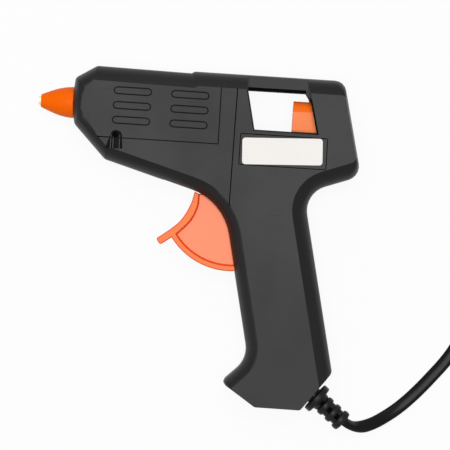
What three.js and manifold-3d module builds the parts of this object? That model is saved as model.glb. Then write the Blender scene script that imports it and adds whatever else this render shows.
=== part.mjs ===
// A small trigger-fed hot glue applicator, lying on its right side.
// Millimetres. +X runs from the nozzle to the stick inlet, +Y to the top of the body, +Z to the
// left side, which carries the rating plate. The case is drawn with the barrel axis at y = 0 and
// the split of the two half shells at z = 0.

import * as THREE from 'three';
import { mergeVertices } from 'three/addons/utils/BufferGeometryUtils.js';
import Module from 'manifold-3d';

const wasm = await Module();
wasm.setup();

// Driving dimensions

const caseLength = 122.8;
const caseHeight = 138.7;
const caseHalfWidth = 13;
const wall = 2.2;
const sideWall = 5;
const edgeBand = 6.4;
const clearance = 0.3;
const overrun = 1;
const leastRoundShare = 0.3;
const filletRoomShare = 0.98;
const fineCut = 0.7;

// The outline of the case: sharp corners from the top rear corner, over the top, down the front,
// along the belly and the handle, and up the back. x and y are shares of the case's length and
// height, round is the corner's radius as a share of the height, and band is the width of the
// sloped edge after the corner as a share of edgeBand.
const cornerShares = [
  { x: 0.9235, y: 0.1161, round: 0.036, band: 0.98, steps: 4 },
  { x: 0.4121, y: 0.1161, round: 0, band: 0.98, steps: 0 },
  { x: 0.4015, y: 0.1103, round: 0, band: 0.98, steps: 0 },
  { x: 0.0798, y: 0.1146, round: 0.011, band: 0.77, steps: 1 },
  { x: 0.0081, y: 0.075, round: 0.011, band: 0.61, steps: 1 },
  { x: 0, y: -0.0022, round: 0.144, band: 0.63, steps: 2 },
  { x: 0.013, y: -0.0649, round: 0.0216, band: 0.66, steps: 2 },
  { x: 0.1238, y: -0.1651, round: 0.0144, band: 0.83, steps: 1 },
  { x: 0.5375, y: -0.2682, round: 0.173, band: 0.86, steps: 8, hollow: true },
  { x: 0.6547, y: -0.7383, round: 0.0793, band: 0.86, steps: 6, hollow: true },
  { x: 0.5676, y: -0.8133, round: 0.013, band: 0.05, steps: 2 },
  { x: 0.6873, y: -0.8832, round: 0.0108, band: 0.05, steps: 1 },
  { x: 0.8436, y: -0.8839, round: 0.0087, band: 0.05, steps: 1, holdsRelief: true },
  { x: 0.9446, y: -0.765, round: 0.0108, band: 1, steps: 1 },
  { x: 0.8094, y: -0.2286, round: 0.0757, band: 1, steps: 8, hollow: true },
  { x: 1, y: -0.1673, round: 0.0433, band: 0.16, steps: 5 },
];

// The section of a half shell: how far in from the outline, as a share of the band, and how high
// between the straight side wall and the flat face.
const outerProfileShares = [
  { inset: 0.08, rise: 0.25 },
  { inset: 0.3, rise: 0.575 },
  { inset: 0.62, rise: 0.84 },
  { inset: 1, rise: 1 },
];
const innerProfileShares = [
  { inset: 0.1, rise: 0.25 },
  { inset: 0.4, rise: 0.6 },
  { inset: 1, rise: 1 },
];

const along = share => share * caseLength;
const up = share => share * caseHeight;

// Pieces of the barrel, from the front
const nozzle = {
  reach: 14.1, tipRadius: 1.7, baseRadius: 4.2, coneBack: 2, collar: 2.4, spigotRadius: 2.9,
  spigot: 7, boreRadius: 1.5, orificeRadius: 0.8,
};
const sleeve = {
  reach: 13, tipRadius: 2.95, baseRadius: 6.5, back: 9.2, flangeRadius: 7.8, flangeStart: 4.3,
  flange: 1.6, lip: 0.5, steps: 8, taperShare: 0.6,
};
const chamber = {
  radius: 6.4, bossRadius: 4.2, bossStart: 2.7, bodyStart: 10, end: 54, boreRadius: 3.9,
  throatRadius: 2, throatEnd: 18,
};
const heaterBlock = { start: 14.4, end: 43.4, halfWidth: 7.6, drop: 14.9, wall: 1.6, floor: 1.4 };
const heater = { height: 2.2, plate: 0.4, film: 0.3, halfWidth: 5, inset: 2, tabHalf: 1.6, tab: 3.4 };
const clip = { start: 26, length: 9, sheet: 0.8, rise: 5 };
const guide = { boreRadius: 4.1, radius: 5.6, flangeRadius: 7.2, flange: 2, proud: 0.8 };
const rib = 2;
const inletRadius = 4.4;

// Feed window and top bar. The slanted sides follow the case, the floor carries the carriage.
const windowShares = {
  topLeft: [0.597, 0.0706], topRight: [0.795, 0.0714], chamfer: [0.8119, 0.0485],
  floorRight: 0.8396, floorLeft: 0.627,
};
const barShares = { left: 0.594, right: 0.7952, step: 0.8135, stepFloor: 0.0627, floor: 0.0721 };
const barHalfWidth = 7;
const windowBevel = 0.6;
const barBevel = 1.2;

// Carriage, grip plate and the trigger that drives them
const carriage = {
  restShare: 0.7549, length: 19.5, half: 6.4, crown: 4.4, boreRadius: 4, cheekStart: 2.6,
  cheek: 1.8, cheekTop: 5.2, legBack: 8.6, pinRadius: 1.5, pinEndIn: 1,
};
const grip = { setback: 11, sheet: 1, half: 4.7, slotFloor: 5.2, boreRadius: 4.1 };
const pivotShares = [0.5668, -0.2639];
const pivotX = along(pivotShares[0]);
const pivotY = up(pivotShares[1]);
const pivotPin = { radius: 2, halfLength: 9.2 };
const trigger = {
  reach: 29.8, rim: 2.4, halfWidth: 5.5, webHalfWidth: 3.8, hubRadius: 4.2, armHalfWidth: 2.2, endRound: 0.9,
  armHalfHeight: 4, padHalfWidth: 3.6, pad: 5.4, innerEnd: 70, rimEnd: 145,
};
const pull = { degrees: 18, feedPerRadian: 40, pinRise: 16 };
const swing = { fromDegrees: 166, spareDegrees: 4, steps: 24 };
const bladeFrontShares = [
  [-0.533, 0.085], [-0.575, -0.09], [-0.675, -0.29], [-0.8, -0.428], [-1.033, -0.607],
];
const bladeBackShares = [
  [-0.97, -0.69], [-0.758, -0.528], [-0.567, -0.325], [-0.478, -0.115], [-0.472, 0.06],
];
const spring = { radius: 3.1, wire: 0.8, turns: 7, rise: 20.6, back: 17.6, seat: 1.8, seatHeight: 9 };

// Fastening
const caseScrew = { headRadius: 2.4, head: 1.9, radius: 1.3, length: 12, tipRadius: 0.75, tip: 1.6 };
const boss = { radius: 3.4, headDepth: 6.5, floor: 4.4 };
const bossShares = [
  [0.179, 0.0779], [0.252, -0.1695], [0.8754, 0.0743], [0.916, -0.1262], [0.676, -0.8075],
  [0.704, -0.54],
];
const caseScrewNames = [
  'case_screw_nose_top', 'case_screw_belly', 'case_screw_rear_top', 'case_screw_rear_low',
  'case_screw_handle_foot', 'case_screw_handle',
];

// Marks on the flat faces
const slotMark = { length: 16.2, height: 3.4, line: 0.55, pitchX: 24, pitchY: 6.15, columns: 2, rows: 3 };
const slotStartShares = [0.141, 0.0429];
const panelLineShares = [
  [[0.0958, -0.0993], [0.5068, -0.0986], [0.5061, 0.0722]],
  [[0.5577, -0.2802], [0.561, 0.0722]],
];
const panelLine = 0.45;
const socket = { depth: 2.6, holeRadius: 1.2, holeDepth: 4.2, backing: 8.3, ribWidth: 0.45, ribDrop: 0.35 };
const socketShares = [
  [0.1248, -0.1329], [0.1409, -0.0894], [0.1429, -0.0847], [0.1471, -0.08], [0.1572, -0.0764],
  [0.1674, -0.0779], [0.1759, -0.0829], [0.1792, -0.0901], [0.1836, -0.1315],
];
const socketHoleShares = [0.1567, -0.0906];
const socketRibShares = [0.1425, 0.1506, 0.1722];
// The label lies in its recess, a little askew
const recess = { length: 36.7, height: 13.3, depth: 0.5, corner: 0.6 };
const recessShares = [0.7292, -0.1089];
const labelRoom = { along: 3.2, across: 2.2 };
const label = {
  length: recess.length - labelRoom.along, height: recess.height - labelRoom.across, sheet: 0.3,
  corner: 1.3, turn: 2.7, shift: -0.35,
};

// Cord, strain relief and what holds the cord in the handle
const cord = { width: 5.4, height: 2.8 };
const reliefEdgeShare = 0.41;
const relief = {
  inside: 4.6, flangeInRadius: 5.4, flangeIn: 1.8, neckRadius: 3.6, flangeGap: 1, flange: 2.9,
  flangeRadius: 6.4, stemRadius: 3.3, ribRadius: 4.2, endRadius: 4.7, rib: 2, ribPitch: 4,
  firstRib: 6.2, ribs: 3, endRib: 2.6, notchHalf: 1.4, notchFloor: 1.3,
};
const innerCord = { length: 13.2 };
const clamp = { centre: 11.2, width: 5, height: 2.4, halfLength: 9.6, screwAt: 6.6 };
const clampScrew = { headRadius: 2.3, head: 1.5, radius: 1.1, length: 6.4 };
const clampPost = { radius: 2.6, saddleHalf: 4 };
const lead = { radius: 0.9, sides: 8, steps: 28, level: 8, firstLevelShare: 1 / 3 };
const crimp = { radius: 1.7, length: 9 };

// The stored cord: a flat coil in two layers beside the body, with its tie and plug
const coil = {
  innerRadius: 22, pitch: 6.1, layer: 3.4, stepsPerTurn: 24, sides: 6,
  startDegrees: 180, turnDegrees: 1905,
};
const coilCentre = [212.9, -70];
const tie = { width: 4, sheet: 0.5, degrees: 150 };
const coilLift = tie.sheet + clearance;
const plug = {
  length: 35, width: 35.3, height: 13.7, neckWidth: 11, bootLength: 9, bootRadius: 4.2,
  edge: 1.6, pinRadius: 2, pinTipShare: 0.7, pinLength: 19, pinSpacing: 19, socket: 4, heading: -80,
};
// Half of the plug's outline, as shares of its length and of its half width past the neck
const plugNeckShares = [0, 0.2];
const plugWaistShares = [[0.45, 0.9], [0.55, 1], [0.88, 1], [1, 0.86]];
// The free stretch from the strain relief to the coil, chosen by hand, with y from the barrel axis
// and z from the split of the shells.
const leadRoute = [
  [122.4, -126.15, 0], [123.9, -127.1, -0.3], [126.9, -128.25, -2.4], [130.5, -128.2, -4.8],
  [135.1, -126.57, -7.6], [140.2, -123.53, -9.8], [145.25, -119.73, -11.1],
  [150.1, -115.16, -11.4], [154.9, -109.93, -11.4], [158.9, -105.17, -11.4], [162.9, -100.2, -11.4],
  [166.5, -95, -11.4], [169.4, -89.6, -11.3], [171.6, -84.6, -11.1], [172.8, -79.8, -10.8],
  [173.24, -75.7, -10.8],
];
// From the end of the coil to the plug
const endRoute = [
  [228.7, -33.2, -7.4], [231.6, -34, -7.4], [236, -35.3, -7.3], [241.5, -37.1, -7],
  [247.4, -39.7, -6.8], [252.9, -43.2, -6.5], [257.3, -47.9, -6.3], [260.2, -53.6, -6.2],
  [261.7, -59.4, -6.15], [262.7, -65, -6.15],
];

// Small tools

const vec = (x, y) => new THREE.Vector2(x, y);

// A closed geometry as a solid whose faces point outwards
function solidOf(geometry) {
  geometry.deleteAttribute('normal');
  geometry.deleteAttribute('uv');
  const merged = mergeVertices(geometry);
  const vertProperties = new Float32Array(merged.attributes.position.array);
  const triVerts = new Uint32Array(merged.index.array);
  const solid = new wasm.Manifold(new wasm.Mesh({ numProp: 3, vertProperties, triVerts }));
  if (solid.volume() > 0) return solid;
  for (let i = 0; i < triVerts.length; i += 3) {
    [triVerts[i], triVerts[i + 1]] = [triVerts[i + 1], triVerts[i]];
  }
  return new wasm.Manifold(new wasm.Mesh({ numProp: 3, vertProperties, triVerts }));
}

function geometryOf(solid) {
  const mesh = solid.getMesh();
  const geometry = new THREE.BufferGeometry();
  geometry.setAttribute('position', new THREE.BufferAttribute(new Float32Array(mesh.vertProperties), 3));
  geometry.setIndex(new THREE.BufferAttribute(new Uint32Array(mesh.triVerts), 1));
  return geometry;
}

// A closed outline between two heights
function prism(points, low, high) {
  const geometry = new THREE.ExtrudeGeometry(new THREE.Shape(points), {
    depth: high - low, bevelEnabled: false, steps: 1,
  });
  geometry.translate(0, 0, low);
  return solidOf(geometry);
}

function block(xLow, xHigh, yLow, yHigh, zLow, zHigh) {
  const geometry = new THREE.BoxGeometry(xHigh - xLow, yHigh - yLow, zHigh - zLow);
  geometry.translate((xLow + xHigh) / 2, (yLow + yHigh) / 2, (zLow + zHigh) / 2);
  return solidOf(geometry);
}

function roundZ(x, y, radius, zLow, zHigh, sides = 20) {
  const geometry = new THREE.CylinderGeometry(radius, radius, zHigh - zLow, sides);
  geometry.rotateX(Math.PI / 2);
  geometry.translate(x, y, (zLow + zHigh) / 2);
  return solidOf(geometry);
}

function roundX(radius, xLow, xHigh, sides = 24) {
  const geometry = new THREE.CylinderGeometry(radius, radius, xHigh - xLow, sides);
  geometry.rotateZ(-Math.PI / 2);
  geometry.translate((xLow + xHigh) / 2, 0, 0);
  return solidOf(geometry);
}

// A profile of [x, radius] pairs turned about the barrel axis
function turned(profile, sides = 24) {
  const geometry = new THREE.LatheGeometry(profile.map(([x, r]) => vec(r, x)), sides);
  geometry.rotateZ(-Math.PI / 2);
  return solidOf(geometry);
}

// A stack of closed rings with the same number of points, lowest first
function loft(rings) {
  const count = rings[0].points.length;
  const positions = [];
  const indices = [];
  for (const ring of rings) {
    for (const point of ring.points) positions.push(point.x, point.y, ring.z);
  }
  for (let level = 0; level + 1 < rings.length; level++) {
    for (let i = 0; i < count; i++) {
      const a = level * count + i;
      const b = level * count + (i + 1) % count;
      indices.push(a, b, b + count, a, b + count, a + count);
    }
  }
  const last = rings.length - 1;
  for (const [a, b, c] of THREE.ShapeUtils.triangulateShape(rings[0].points, [])) {
    indices.push(a, c, b);
  }
  for (const [a, b, c] of THREE.ShapeUtils.triangulateShape(rings[last].points, [])) {
    indices.push(a + last * count, b + last * count, c + last * count);
  }
  const geometry = new THREE.BufferGeometry();
  geometry.setAttribute('position', new THREE.Float32BufferAttribute(positions, 3));
  geometry.setIndex(indices);
  return solidOf(geometry);
}

// Rings of a section swept along level frames and closed at both ends
function windTube(frames, section) {
  const count = section.length;
  const positions = [];
  const indices = [];
  for (const { point, side, rise } of frames) {
    for (const [across, high] of section) {
      const p = point.clone().addScaledVector(side, across).addScaledVector(rise, high);
      positions.push(p.x, p.y, p.z);
    }
  }
  for (let ring = 0; ring + 1 < frames.length; ring++) {
    for (let i = 0; i < count; i++) {
      const a = ring * count + i;
      const b = ring * count + (i + 1) % count;
      indices.push(a, b, b + count, a, b + count, a + count);
    }
  }
  const lastRing = (frames.length - 1) * count;
  for (let i = 1; i + 1 < count; i++) {
    indices.push(0, i + 1, i);
    indices.push(lastRing, lastRing + i, lastRing + i + 1);
  }
  const geometry = new THREE.BufferGeometry();
  geometry.setAttribute('position', new THREE.Float32BufferAttribute(positions, 3));
  geometry.setIndex(indices);
  return geometry;
}

// The least distance between surface points of a wound tube that lie well apart along it
function leastGap(frames, section, apart) {
  const points = [];
  for (let ring = 0; ring + 1 < frames.length; ring++) {
    for (const share of [0, 0.5]) {
      const middle = frames[ring].point.clone().lerp(frames[ring + 1].point, share);
      for (let i = 0; i < section.length; i++) {
        const next = section[(i + 1) % section.length];
        for (const blend of [0, 0.5]) {
          const across = section[i][0] * (1 - blend) + next[0] * blend;
          const high = section[i][1] * (1 - blend) + next[1] * blend;
          points.push([ring, middle.clone().addScaledVector(frames[ring].side, across)
            .addScaledVector(frames[ring].rise, high)]);
        }
      }
    }
  }
  let least = Infinity;
  for (let a = 0; a < points.length; a++) {
    for (let b = a + 1; b < points.length; b++) {
      if (points[b][0] - points[a][0] < apart) continue;
      least = Math.min(least, points[a][1].distanceTo(points[b][1]));
    }
  }
  return least;
}

// A route whose frames stay level, so that a flat cord lies flat
class LevelRoute extends THREE.CatmullRomCurve3 {
  computeFrenetFrames(segments) {
    const tangents = [];
    const normals = [];
    const binormals = [];
    for (let i = 0; i <= segments; i++) {
      const tangent = this.getTangentAt(i / segments);
      const side = new THREE.Vector3(tangent.y, -tangent.x, 0).normalize();
      tangents.push(tangent);
      normals.push(side);
      binormals.push(tangent.clone().cross(side).negate());
    }
    return { tangents, normals, binormals };
  }
}

// A flattened round section with flats above and below
function flatSection(width, height, sides) {
  const points = [];
  const offset = sides % 4 === 0 ? 0.5 : 0;
  for (let i = 0; i < sides; i++) {
    const angle = (i + offset) / sides * 2 * Math.PI;
    points.push([Math.cos(angle), Math.sin(angle)]);
  }
  const widest = Math.max(...points.map(p => p[0]));
  const highest = Math.max(...points.map(p => p[1]));
  return points.map(([x, y]) => [x / widest * width / 2, y / highest * height / 2]);
}

function routeTube(points, section, steps) {
  const route = new LevelRoute(points, false, 'centripetal');
  const shape = new THREE.Shape(section.map(([x, y]) => vec(x, y)));
  const geometry = new THREE.ExtrudeGeometry(shape, { steps, bevelEnabled: false, extrudePath: route });
  return solidOf(geometry);
}

// The outline of the case

const corners = cornerShares.map(c => ({
  at: vec(along(c.x), up(c.y)), round: up(c.round), band: c.band * edgeBand, steps: c.steps,
  hollow: Boolean(c.hollow),
}));

// The case's outline moved inwards: by the same distance all round, plus a share of each band
function caseRing(distance, bandShare) {
  const count = corners.length;
  const edges = corners.map((corner, i) => {
    const next = corners[(i + 1) % count].at;
    const direction = next.clone().sub(corner.at).normalize();
    const inward = vec(-direction.y, direction.x);
    const inset = distance + bandShare * corner.band;
    return { start: corner.at.clone().addScaledVector(inward, inset), direction, inset };
  });
  const sharp = edges.map((edge, i) => {
    const before = edges[(i + count - 1) % count];
    const cross = before.direction.cross(edge.direction);
    const apart = edge.start.clone().sub(before.start);
    return before.start.clone().addScaledVector(before.direction, apart.cross(edge.direction) / cross);
  });
  const tangents = corners.map((corner, i) => {
    const before = edges[(i + count - 1) % count];
    const inset = (before.inset + edges[i].inset) / 2;
    const radius = corner.round === 0 ? 0
      : corner.hollow ? corner.round + inset : Math.max(corner.round - inset, corner.round * leastRoundShare);
    const turn = Math.acos(THREE.MathUtils.clamp(before.direction.dot(edges[i].direction), -1, 1));
    return radius * Math.tan(turn / 2);
  });
  const fit = corners.map((corner, i) => {
    const before = (i + count - 1) % count;
    const after = (i + 1) % count;
    const room = sharp[i].distanceTo(sharp[after]) / (tangents[i] + tangents[after] || 1);
    const roomBefore = sharp[i].distanceTo(sharp[before]) / (tangents[i] + tangents[before] || 1);
    return tangents[i] * Math.min(1, room * filletRoomShare, roomBefore * filletRoomShare);
  });
  const points = [];
  corners.forEach((corner, i) => {
    if (corner.steps === 0) {
      points.push(sharp[i].clone());
      return;
    }
    const before = edges[(i + count - 1) % count].direction;
    const start = sharp[i].clone().addScaledVector(before, -fit[i]);
    const end = sharp[i].clone().addScaledVector(edges[i].direction, fit[i]);
    const turn = Math.acos(THREE.MathUtils.clamp(before.dot(edges[i].direction), -1, 1));
    const radius = fit[i] / Math.tan(turn / 2);
    const sweep = corner.hollow ? -turn : turn;
    const centre = start.clone().addScaledVector(vec(-before.y, before.x), corner.hollow ? -radius : radius);
    for (let step = 0; step <= corner.steps; step++) {
      points.push(start.clone().rotateAround(centre, sweep * step / corner.steps));
    }
    points[points.length - 1].copy(end);
  });
  return points;
}

// One half of the case's outer form, or of the form that lies this deep in its wall, between the
// split and the flat face
function outerForm(depth) {
  const shoulder = caseHalfWidth - depth - sideWall;
  return loft([
    { points: caseRing(depth, 0), z: 0 },
    { points: caseRing(depth, 0), z: sideWall },
    ...outerProfileShares.map(share => ({
      points: caseRing(depth, share.inset), z: sideWall + share.rise * shoulder,
    })),
  ]);
}

function hollowForm() {
  const start = sideWall - wall / 2;
  const roof = caseHalfWidth - wall;
  return loft([
    { points: caseRing(wall, 0), z: -overrun },
    { points: caseRing(wall, 0), z: start },
    ...innerProfileShares.map(share => ({
      points: caseRing(wall, share.inset), z: start + share.rise * (roof - start),
    })),
  ]);
}

// Places that several pieces share

const floorY = -(carriage.half + clearance);
const windowCorners = [
  vec(along(windowShares.topLeft[0]), up(windowShares.topLeft[1])),
  vec(along(windowShares.floorLeft), floorY),
  vec(along(windowShares.floorRight), floorY),
  vec(along(windowShares.chamfer[0]), up(windowShares.chamfer[1])),
  vec(along(windowShares.topRight[0]), up(windowShares.topRight[1])),
];
const windowSideAt = y => windowCorners[0].x
  + (windowCorners[1].x - windowCorners[0].x) * (windowCorners[0].y - y) / (windowCorners[0].y - floorY);
const carriageFront = along(carriage.restShare);
const legX = carriageFront + carriage.legBack / 2;
const legPinY = pivotY + pull.pinRise;
const cheekEnd = carriage.cheekStart + carriage.cheek;
const slotHalfWidth = trigger.halfWidth + clearance;
const screwBore = caseScrew.radius + clearance;
const blockTop = chamber.radius / 2;
const pocketFloor = -(heaterBlock.drop - heaterBlock.floor);
const filmHeight = 2 * heater.film + 2 * heater.plate + heater.height + 4 * clearance;
const pocketRoof = pocketFloor + filmHeight + 2 * clearance;
const heaterMiddle = (pocketFloor + pocketRoof) / 2;
const guideStart = chamber.end + clearance;
const guideEnd = windowSideAt(guide.boreRadius) - guide.proud;
const springBack = pivotX + trigger.reach * Math.cos(THREE.MathUtils.degToRad(trigger.innerEnd));
const springStart = springBack + clearance;
const springEnd = springStart + spring.back;
const springY = pivotY - spring.rise;

const reliefCorner = cornerShares.findIndex(corner => corner.holdsRelief);
const edgeStart = corners[reliefCorner].at;
const edgeEnd = corners[reliefCorner + 1].at;
const reliefBase = edgeStart.clone().lerp(edgeEnd, reliefEdgeShare);
const reliefEdgeLine = edgeEnd.clone().sub(edgeStart).normalize();
const reliefOut = vec(reliefEdgeLine.y, -reliefEdgeLine.x);
const reliefAngle = Math.atan2(reliefOut.y, reliefOut.x);
const reliefEnd = relief.firstRib + (relief.ribs - 1) * relief.ribPitch + relief.endRib;

// Turns a solid made about the barrel axis onto the strain relief's axis
function ontoRelief(solid) {
  const turn = THREE.MathUtils.radToDeg(reliefAngle);
  return solid.rotate([0, 0, turn]).translate([reliefBase.x, reliefBase.y, 0]);
}
const reliefPoint = (out, across) => reliefBase.clone().addScaledVector(reliefOut, out)
  .addScaledVector(reliefEdgeLine, across);

// Half shells

function stadium(x, y, length, height) {
  const points = [];
  const radius = height / 2;
  for (const [end, from] of [[x + length - radius, -0.5], [x + radius, 0.5]]) {
    for (let step = 0; step <= 4; step++) {
      const angle = (from + step / 4) * Math.PI;
      points.push(vec(end + radius * Math.cos(angle), y + radius * Math.sin(angle)));
    }
  }
  return points;
}

function roundedRectangle(length, height, corner, steps = 4) {
  const points = [];
  const halves = [[1, 1, 0], [-1, 1, 1], [-1, -1, 2], [1, -1, 3]];
  for (const [sx, sy, quarter] of halves) {
    for (let step = 0; step <= steps; step++) {
      const angle = (quarter + step / steps) * Math.PI / 2;
      points.push(vec(
        sx * (length / 2 - corner) + corner * Math.cos(angle),
        sy * (height / 2 - corner) + corner * Math.sin(angle),
      ));
    }
  }
  return points;
}

// A strip of constant width along a line, with mitred corners
function strip(points, half) {
  const left = [];
  const right = [];
  points.forEach((point, i) => {
    const before = points[Math.max(i - 1, 0)];
    const after = points[Math.min(i + 1, points.length - 1)];
    const first = (i > 0 ? point.clone().sub(before) : after.clone().sub(point)).normalize();
    const second = (i + 1 < points.length ? after.clone().sub(point) : first.clone()).normalize();
    const mean = first.clone().add(second).normalize();
    const side = vec(-mean.y, mean.x).multiplyScalar(half / mean.dot(first));
    left.push(point.clone().add(side));
    right.push(point.clone().sub(side));
  });
  return [...right, ...left.reverse()];
}

// A counterclockwise outline with every side moved outwards by the same distance
function outset(points, distance) {
  return points.map((point, i) => {
    const before = points[(i + points.length - 1) % points.length];
    const after = points[(i + 1) % points.length];
    const first = point.clone().sub(before).normalize();
    const second = after.clone().sub(point).normalize();
    const mean = first.clone().add(second).normalize();
    return point.clone().addScaledVector(vec(mean.y, -mean.x), distance / mean.dot(first));
  });
}

// Engraved marks that both flat faces carry: the six slot outlines and the panel lines
function faceMarks() {
  const floor = caseHalfWidth - fineCut;
  const top = caseHalfWidth + overrun;
  const marks = [];
  for (let column = 0; column < slotMark.columns; column++) {
    for (let row = 0; row < slotMark.rows; row++) {
      const x = along(slotStartShares[0]) + column * slotMark.pitchX;
      const y = up(slotStartShares[1]) - row * slotMark.pitchY;
      const line = slotMark.line;
      const outside = prism(stadium(x, y, slotMark.length, slotMark.height), floor, top);
      const inside = prism(
        stadium(x + line, y, slotMark.length - 2 * line, slotMark.height - 2 * line),
        floor - overrun, top + overrun,
      );
      marks.push(outside.subtract(inside));
    }
  }
  for (const line of panelLineShares) {
    marks.push(prism(strip(line.map(([x, y]) => vec(along(x), up(y))), panelLine / 2), floor, top));
  }
  return marks;
}

// The arched recess that takes one end of a wire stand, with the ribs left standing in it
function standSocket() {
  const points = socketShares.map(([x, y]) => vec(along(x), up(y)));
  const holeX = along(socketHoleShares[0]);
  const holeY = up(socketHoleShares[1]);
  const floor = caseHalfWidth - socket.depth;
  const foot = up(socketShares[0][1]);
  const ribs = socketRibShares.map(share => block(along(share) - socket.ribWidth / 2,
    along(share) + socket.ribWidth / 2, foot - overrun, holeY, floor - overrun,
    caseHalfWidth - socket.ribDrop));
  let cut = prism(points, floor, caseHalfWidth + overrun);
  for (const one of ribs) cut = cut.subtract(one);
  return cut.add(roundZ(holeX, holeY, socket.holeRadius, caseHalfWidth - socket.holeDepth,
    caseHalfWidth + overrun));
}

// The room in which the trigger swings, seen from the side, with the cut in the case's wall
function triggerRoom() {
  const reach = trigger.reach + clearance;
  const from = THREE.MathUtils.degToRad(swing.fromDegrees);
  const to = 2 * Math.PI
    - THREE.MathUtils.degToRad(trigger.innerEnd - pull.degrees - swing.spareDegrees);
  const points = [vec(pivotX, pivotY)];
  for (let step = 0; step <= swing.steps; step++) {
    const angle = from + (to - from) * step / swing.steps;
    points.push(vec(pivotX + reach * Math.cos(angle), pivotY + reach * Math.sin(angle)));
  }
  return points;
}

// A rib across the hollow with a round seat for a piece of the barrel
function seatRib(start, radius, low, high, sides = 24) {
  return block(start, start + rib, low, high, 0, caseHalfWidth)
    .subtract(roundX(radius, start - overrun, start + rib + overrun, sides));
}

function halfShell(isLeft) {
  const midWall = outerForm(wall / 2);
  let shell = outerForm(0).subtract(hollowForm());

  // Walls round the feed window, the ledges under the carriage and the bar over the window
  const frameRing = windowCorners.map(p => p.clone());
  frameRing[0].add(vec(-wall, wall));
  frameRing[1].add(vec(-wall, -wall));
  frameRing[2].add(vec(wall, -wall));
  frameRing[3].add(vec(wall, 0));
  frameRing[4].add(vec(wall, wall));
  const ledgeEnd = carriageFront + carriage.length + wall;
  const barFloor = up(barShares.floor);
  const barTop = up(cornerShares[0].y);
  const inner = [
    prism(frameRing, 0, caseHalfWidth),
    block(windowCorners[2].x - wall, ledgeEnd, floorY - wall, floorY, 0, caseHalfWidth),
    block(along(barShares.left) - wall, along(barShares.right) + wall, barFloor, barTop, 0, barHalfWidth),
  ];

  // Seats of the barrel: behind the sleeve's flange, under both ends of the chamber, and at the
  // flange of the stick guide
  const top = up(cornerShares[0].y);
  const low = -heaterBlock.drop - clip.sheet;
  const flangeBack = sleeve.flangeStart + sleeve.flange + clearance;
  const guideRib = guideStart + guide.flange + clearance;
  inner.push(
    seatRib(flangeBack, sleeve.baseRadius + clearance, low, top),
    seatRib(chamber.bodyStart + clearance, chamber.radius + clearance, low, top)
      .subtract(block(heaterBlock.start - clearance, heaterBlock.end, low, blockTop, -overrun,
        heaterBlock.halfWidth + clearance)),
    seatRib(heaterBlock.end + heater.tab + crimp.length / 2, chamber.radius + clearance, low, top)
      .subtract(block(heaterBlock.end, chamber.end, low - overrun, 0, -overrun,
        heater.halfWidth + clearance)),
    seatRib(guideRib, guide.radius + clearance, -guide.flangeRadius, top),
  );

  // Screw bosses, the boss of the trigger's pin and the seat behind the return spring
  for (const [x, y] of bossShares) inner.push(roundZ(along(x), up(y), boss.radius, 0, caseHalfWidth, 16));
  inner.push(roundZ(pivotX, pivotY, trigger.hubRadius, slotHalfWidth, caseHalfWidth));
  const seatLow = springY - spring.seatHeight / 2;
  inner.push(block(springEnd + clearance, springEnd + clearance + spring.seat, seatLow,
    seatLow + spring.seatHeight, 0, caseHalfWidth));
  if (isLeft) {
    const foot = socketShares.map(([x, y]) => vec(along(x), up(y)));
    inner.push(block(foot[0].x - wall, foot[8].x + wall, foot[0].y - wall, foot[4].y + wall,
      socket.backing, caseHalfWidth));
  }
  for (const piece of inner) shell = shell.add(piece.intersect(midWall));

  const cuts = [];
  // The window itself, and the outside of the bar, which stands back from the flat face
  cuts.push(prism(windowCorners, -overrun, caseHalfWidth + overrun));
  cuts.push(loft([
    { points: windowCorners, z: caseHalfWidth - windowBevel },
    { points: outset(windowCorners, windowBevel + overrun), z: caseHalfWidth + overrun },
  ]));
  cuts.push(prism([
    vec(along(barShares.left), windowCorners[0].y),
    windowCorners[0].clone().add(vec(wall, -wall)), windowCorners[4].clone().add(vec(-wall, -wall)),
    windowCorners[3].clone().add(vec(-wall / 2, 0)),
    vec(along(barShares.step), up(barShares.stepFloor)),
    vec(along(barShares.right), barTop + overrun),
    vec(along(barShares.left), barTop + overrun),
  ], barHalfWidth, caseHalfWidth + overrun));
  cuts.push(loft([
    { points: windowCorners, z: barHalfWidth - barBevel },
    { points: outset(windowCorners, barBevel + overrun), z: barHalfWidth + overrun },
  ]).intersect(block(windowCorners[0].x, windowCorners[4].x, windowCorners[3].y, barTop, 0,
    barHalfWidth + overrun)));
  // The way of the carriage through the window's rear wall, and of its leg through the floor
  const way = carriage.half + clearance;
  cuts.push(block(windowCorners[3].x - wall, ledgeEnd + overrun, floorY, way, -overrun, way));
  const travel = pull.feedPerRadian * THREE.MathUtils.degToRad(pull.degrees);
  cuts.push(block(legX - carriage.legBack / 2 - travel - wall, ledgeEnd + overrun, floorY - wall - overrun,
    floorY + overrun, -overrun, cheekEnd + clearance));
  // Front hole of the sleeve, stick guide and stick inlet
  cuts.push(roundX(sleeve.baseRadius + clearance, -overrun - wall, sleeve.flangeStart));
  cuts.push(roundX(guide.radius + clearance, guideRib, windowSideAt(0)));
  cuts.push(roundX(inletRadius, ledgeEnd, caseLength + overrun));
  // Trigger slot, blind hole of its pin, hole of the strain relief
  cuts.push(prism(triggerRoom(), -overrun, slotHalfWidth));
  cuts.push(roundZ(pivotX, pivotY, pivotPin.radius + clearance, 0, pivotPin.halfLength + clearance));
  cuts.push(ontoRelief(roundX(relief.neckRadius + clearance, -relief.inside, overrun + wall)));
  cuts.push(...faceMarks());
  if (isLeft) {
    cuts.push(standSocket());
    cuts.push(prism(
      roundedRectangle(recess.length, recess.height, recess.corner, 2).map(p => p.add(
        vec(along(recessShares[0]), up(recessShares[1])))),
      caseHalfWidth - recess.depth, caseHalfWidth + overrun,
    ));
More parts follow.
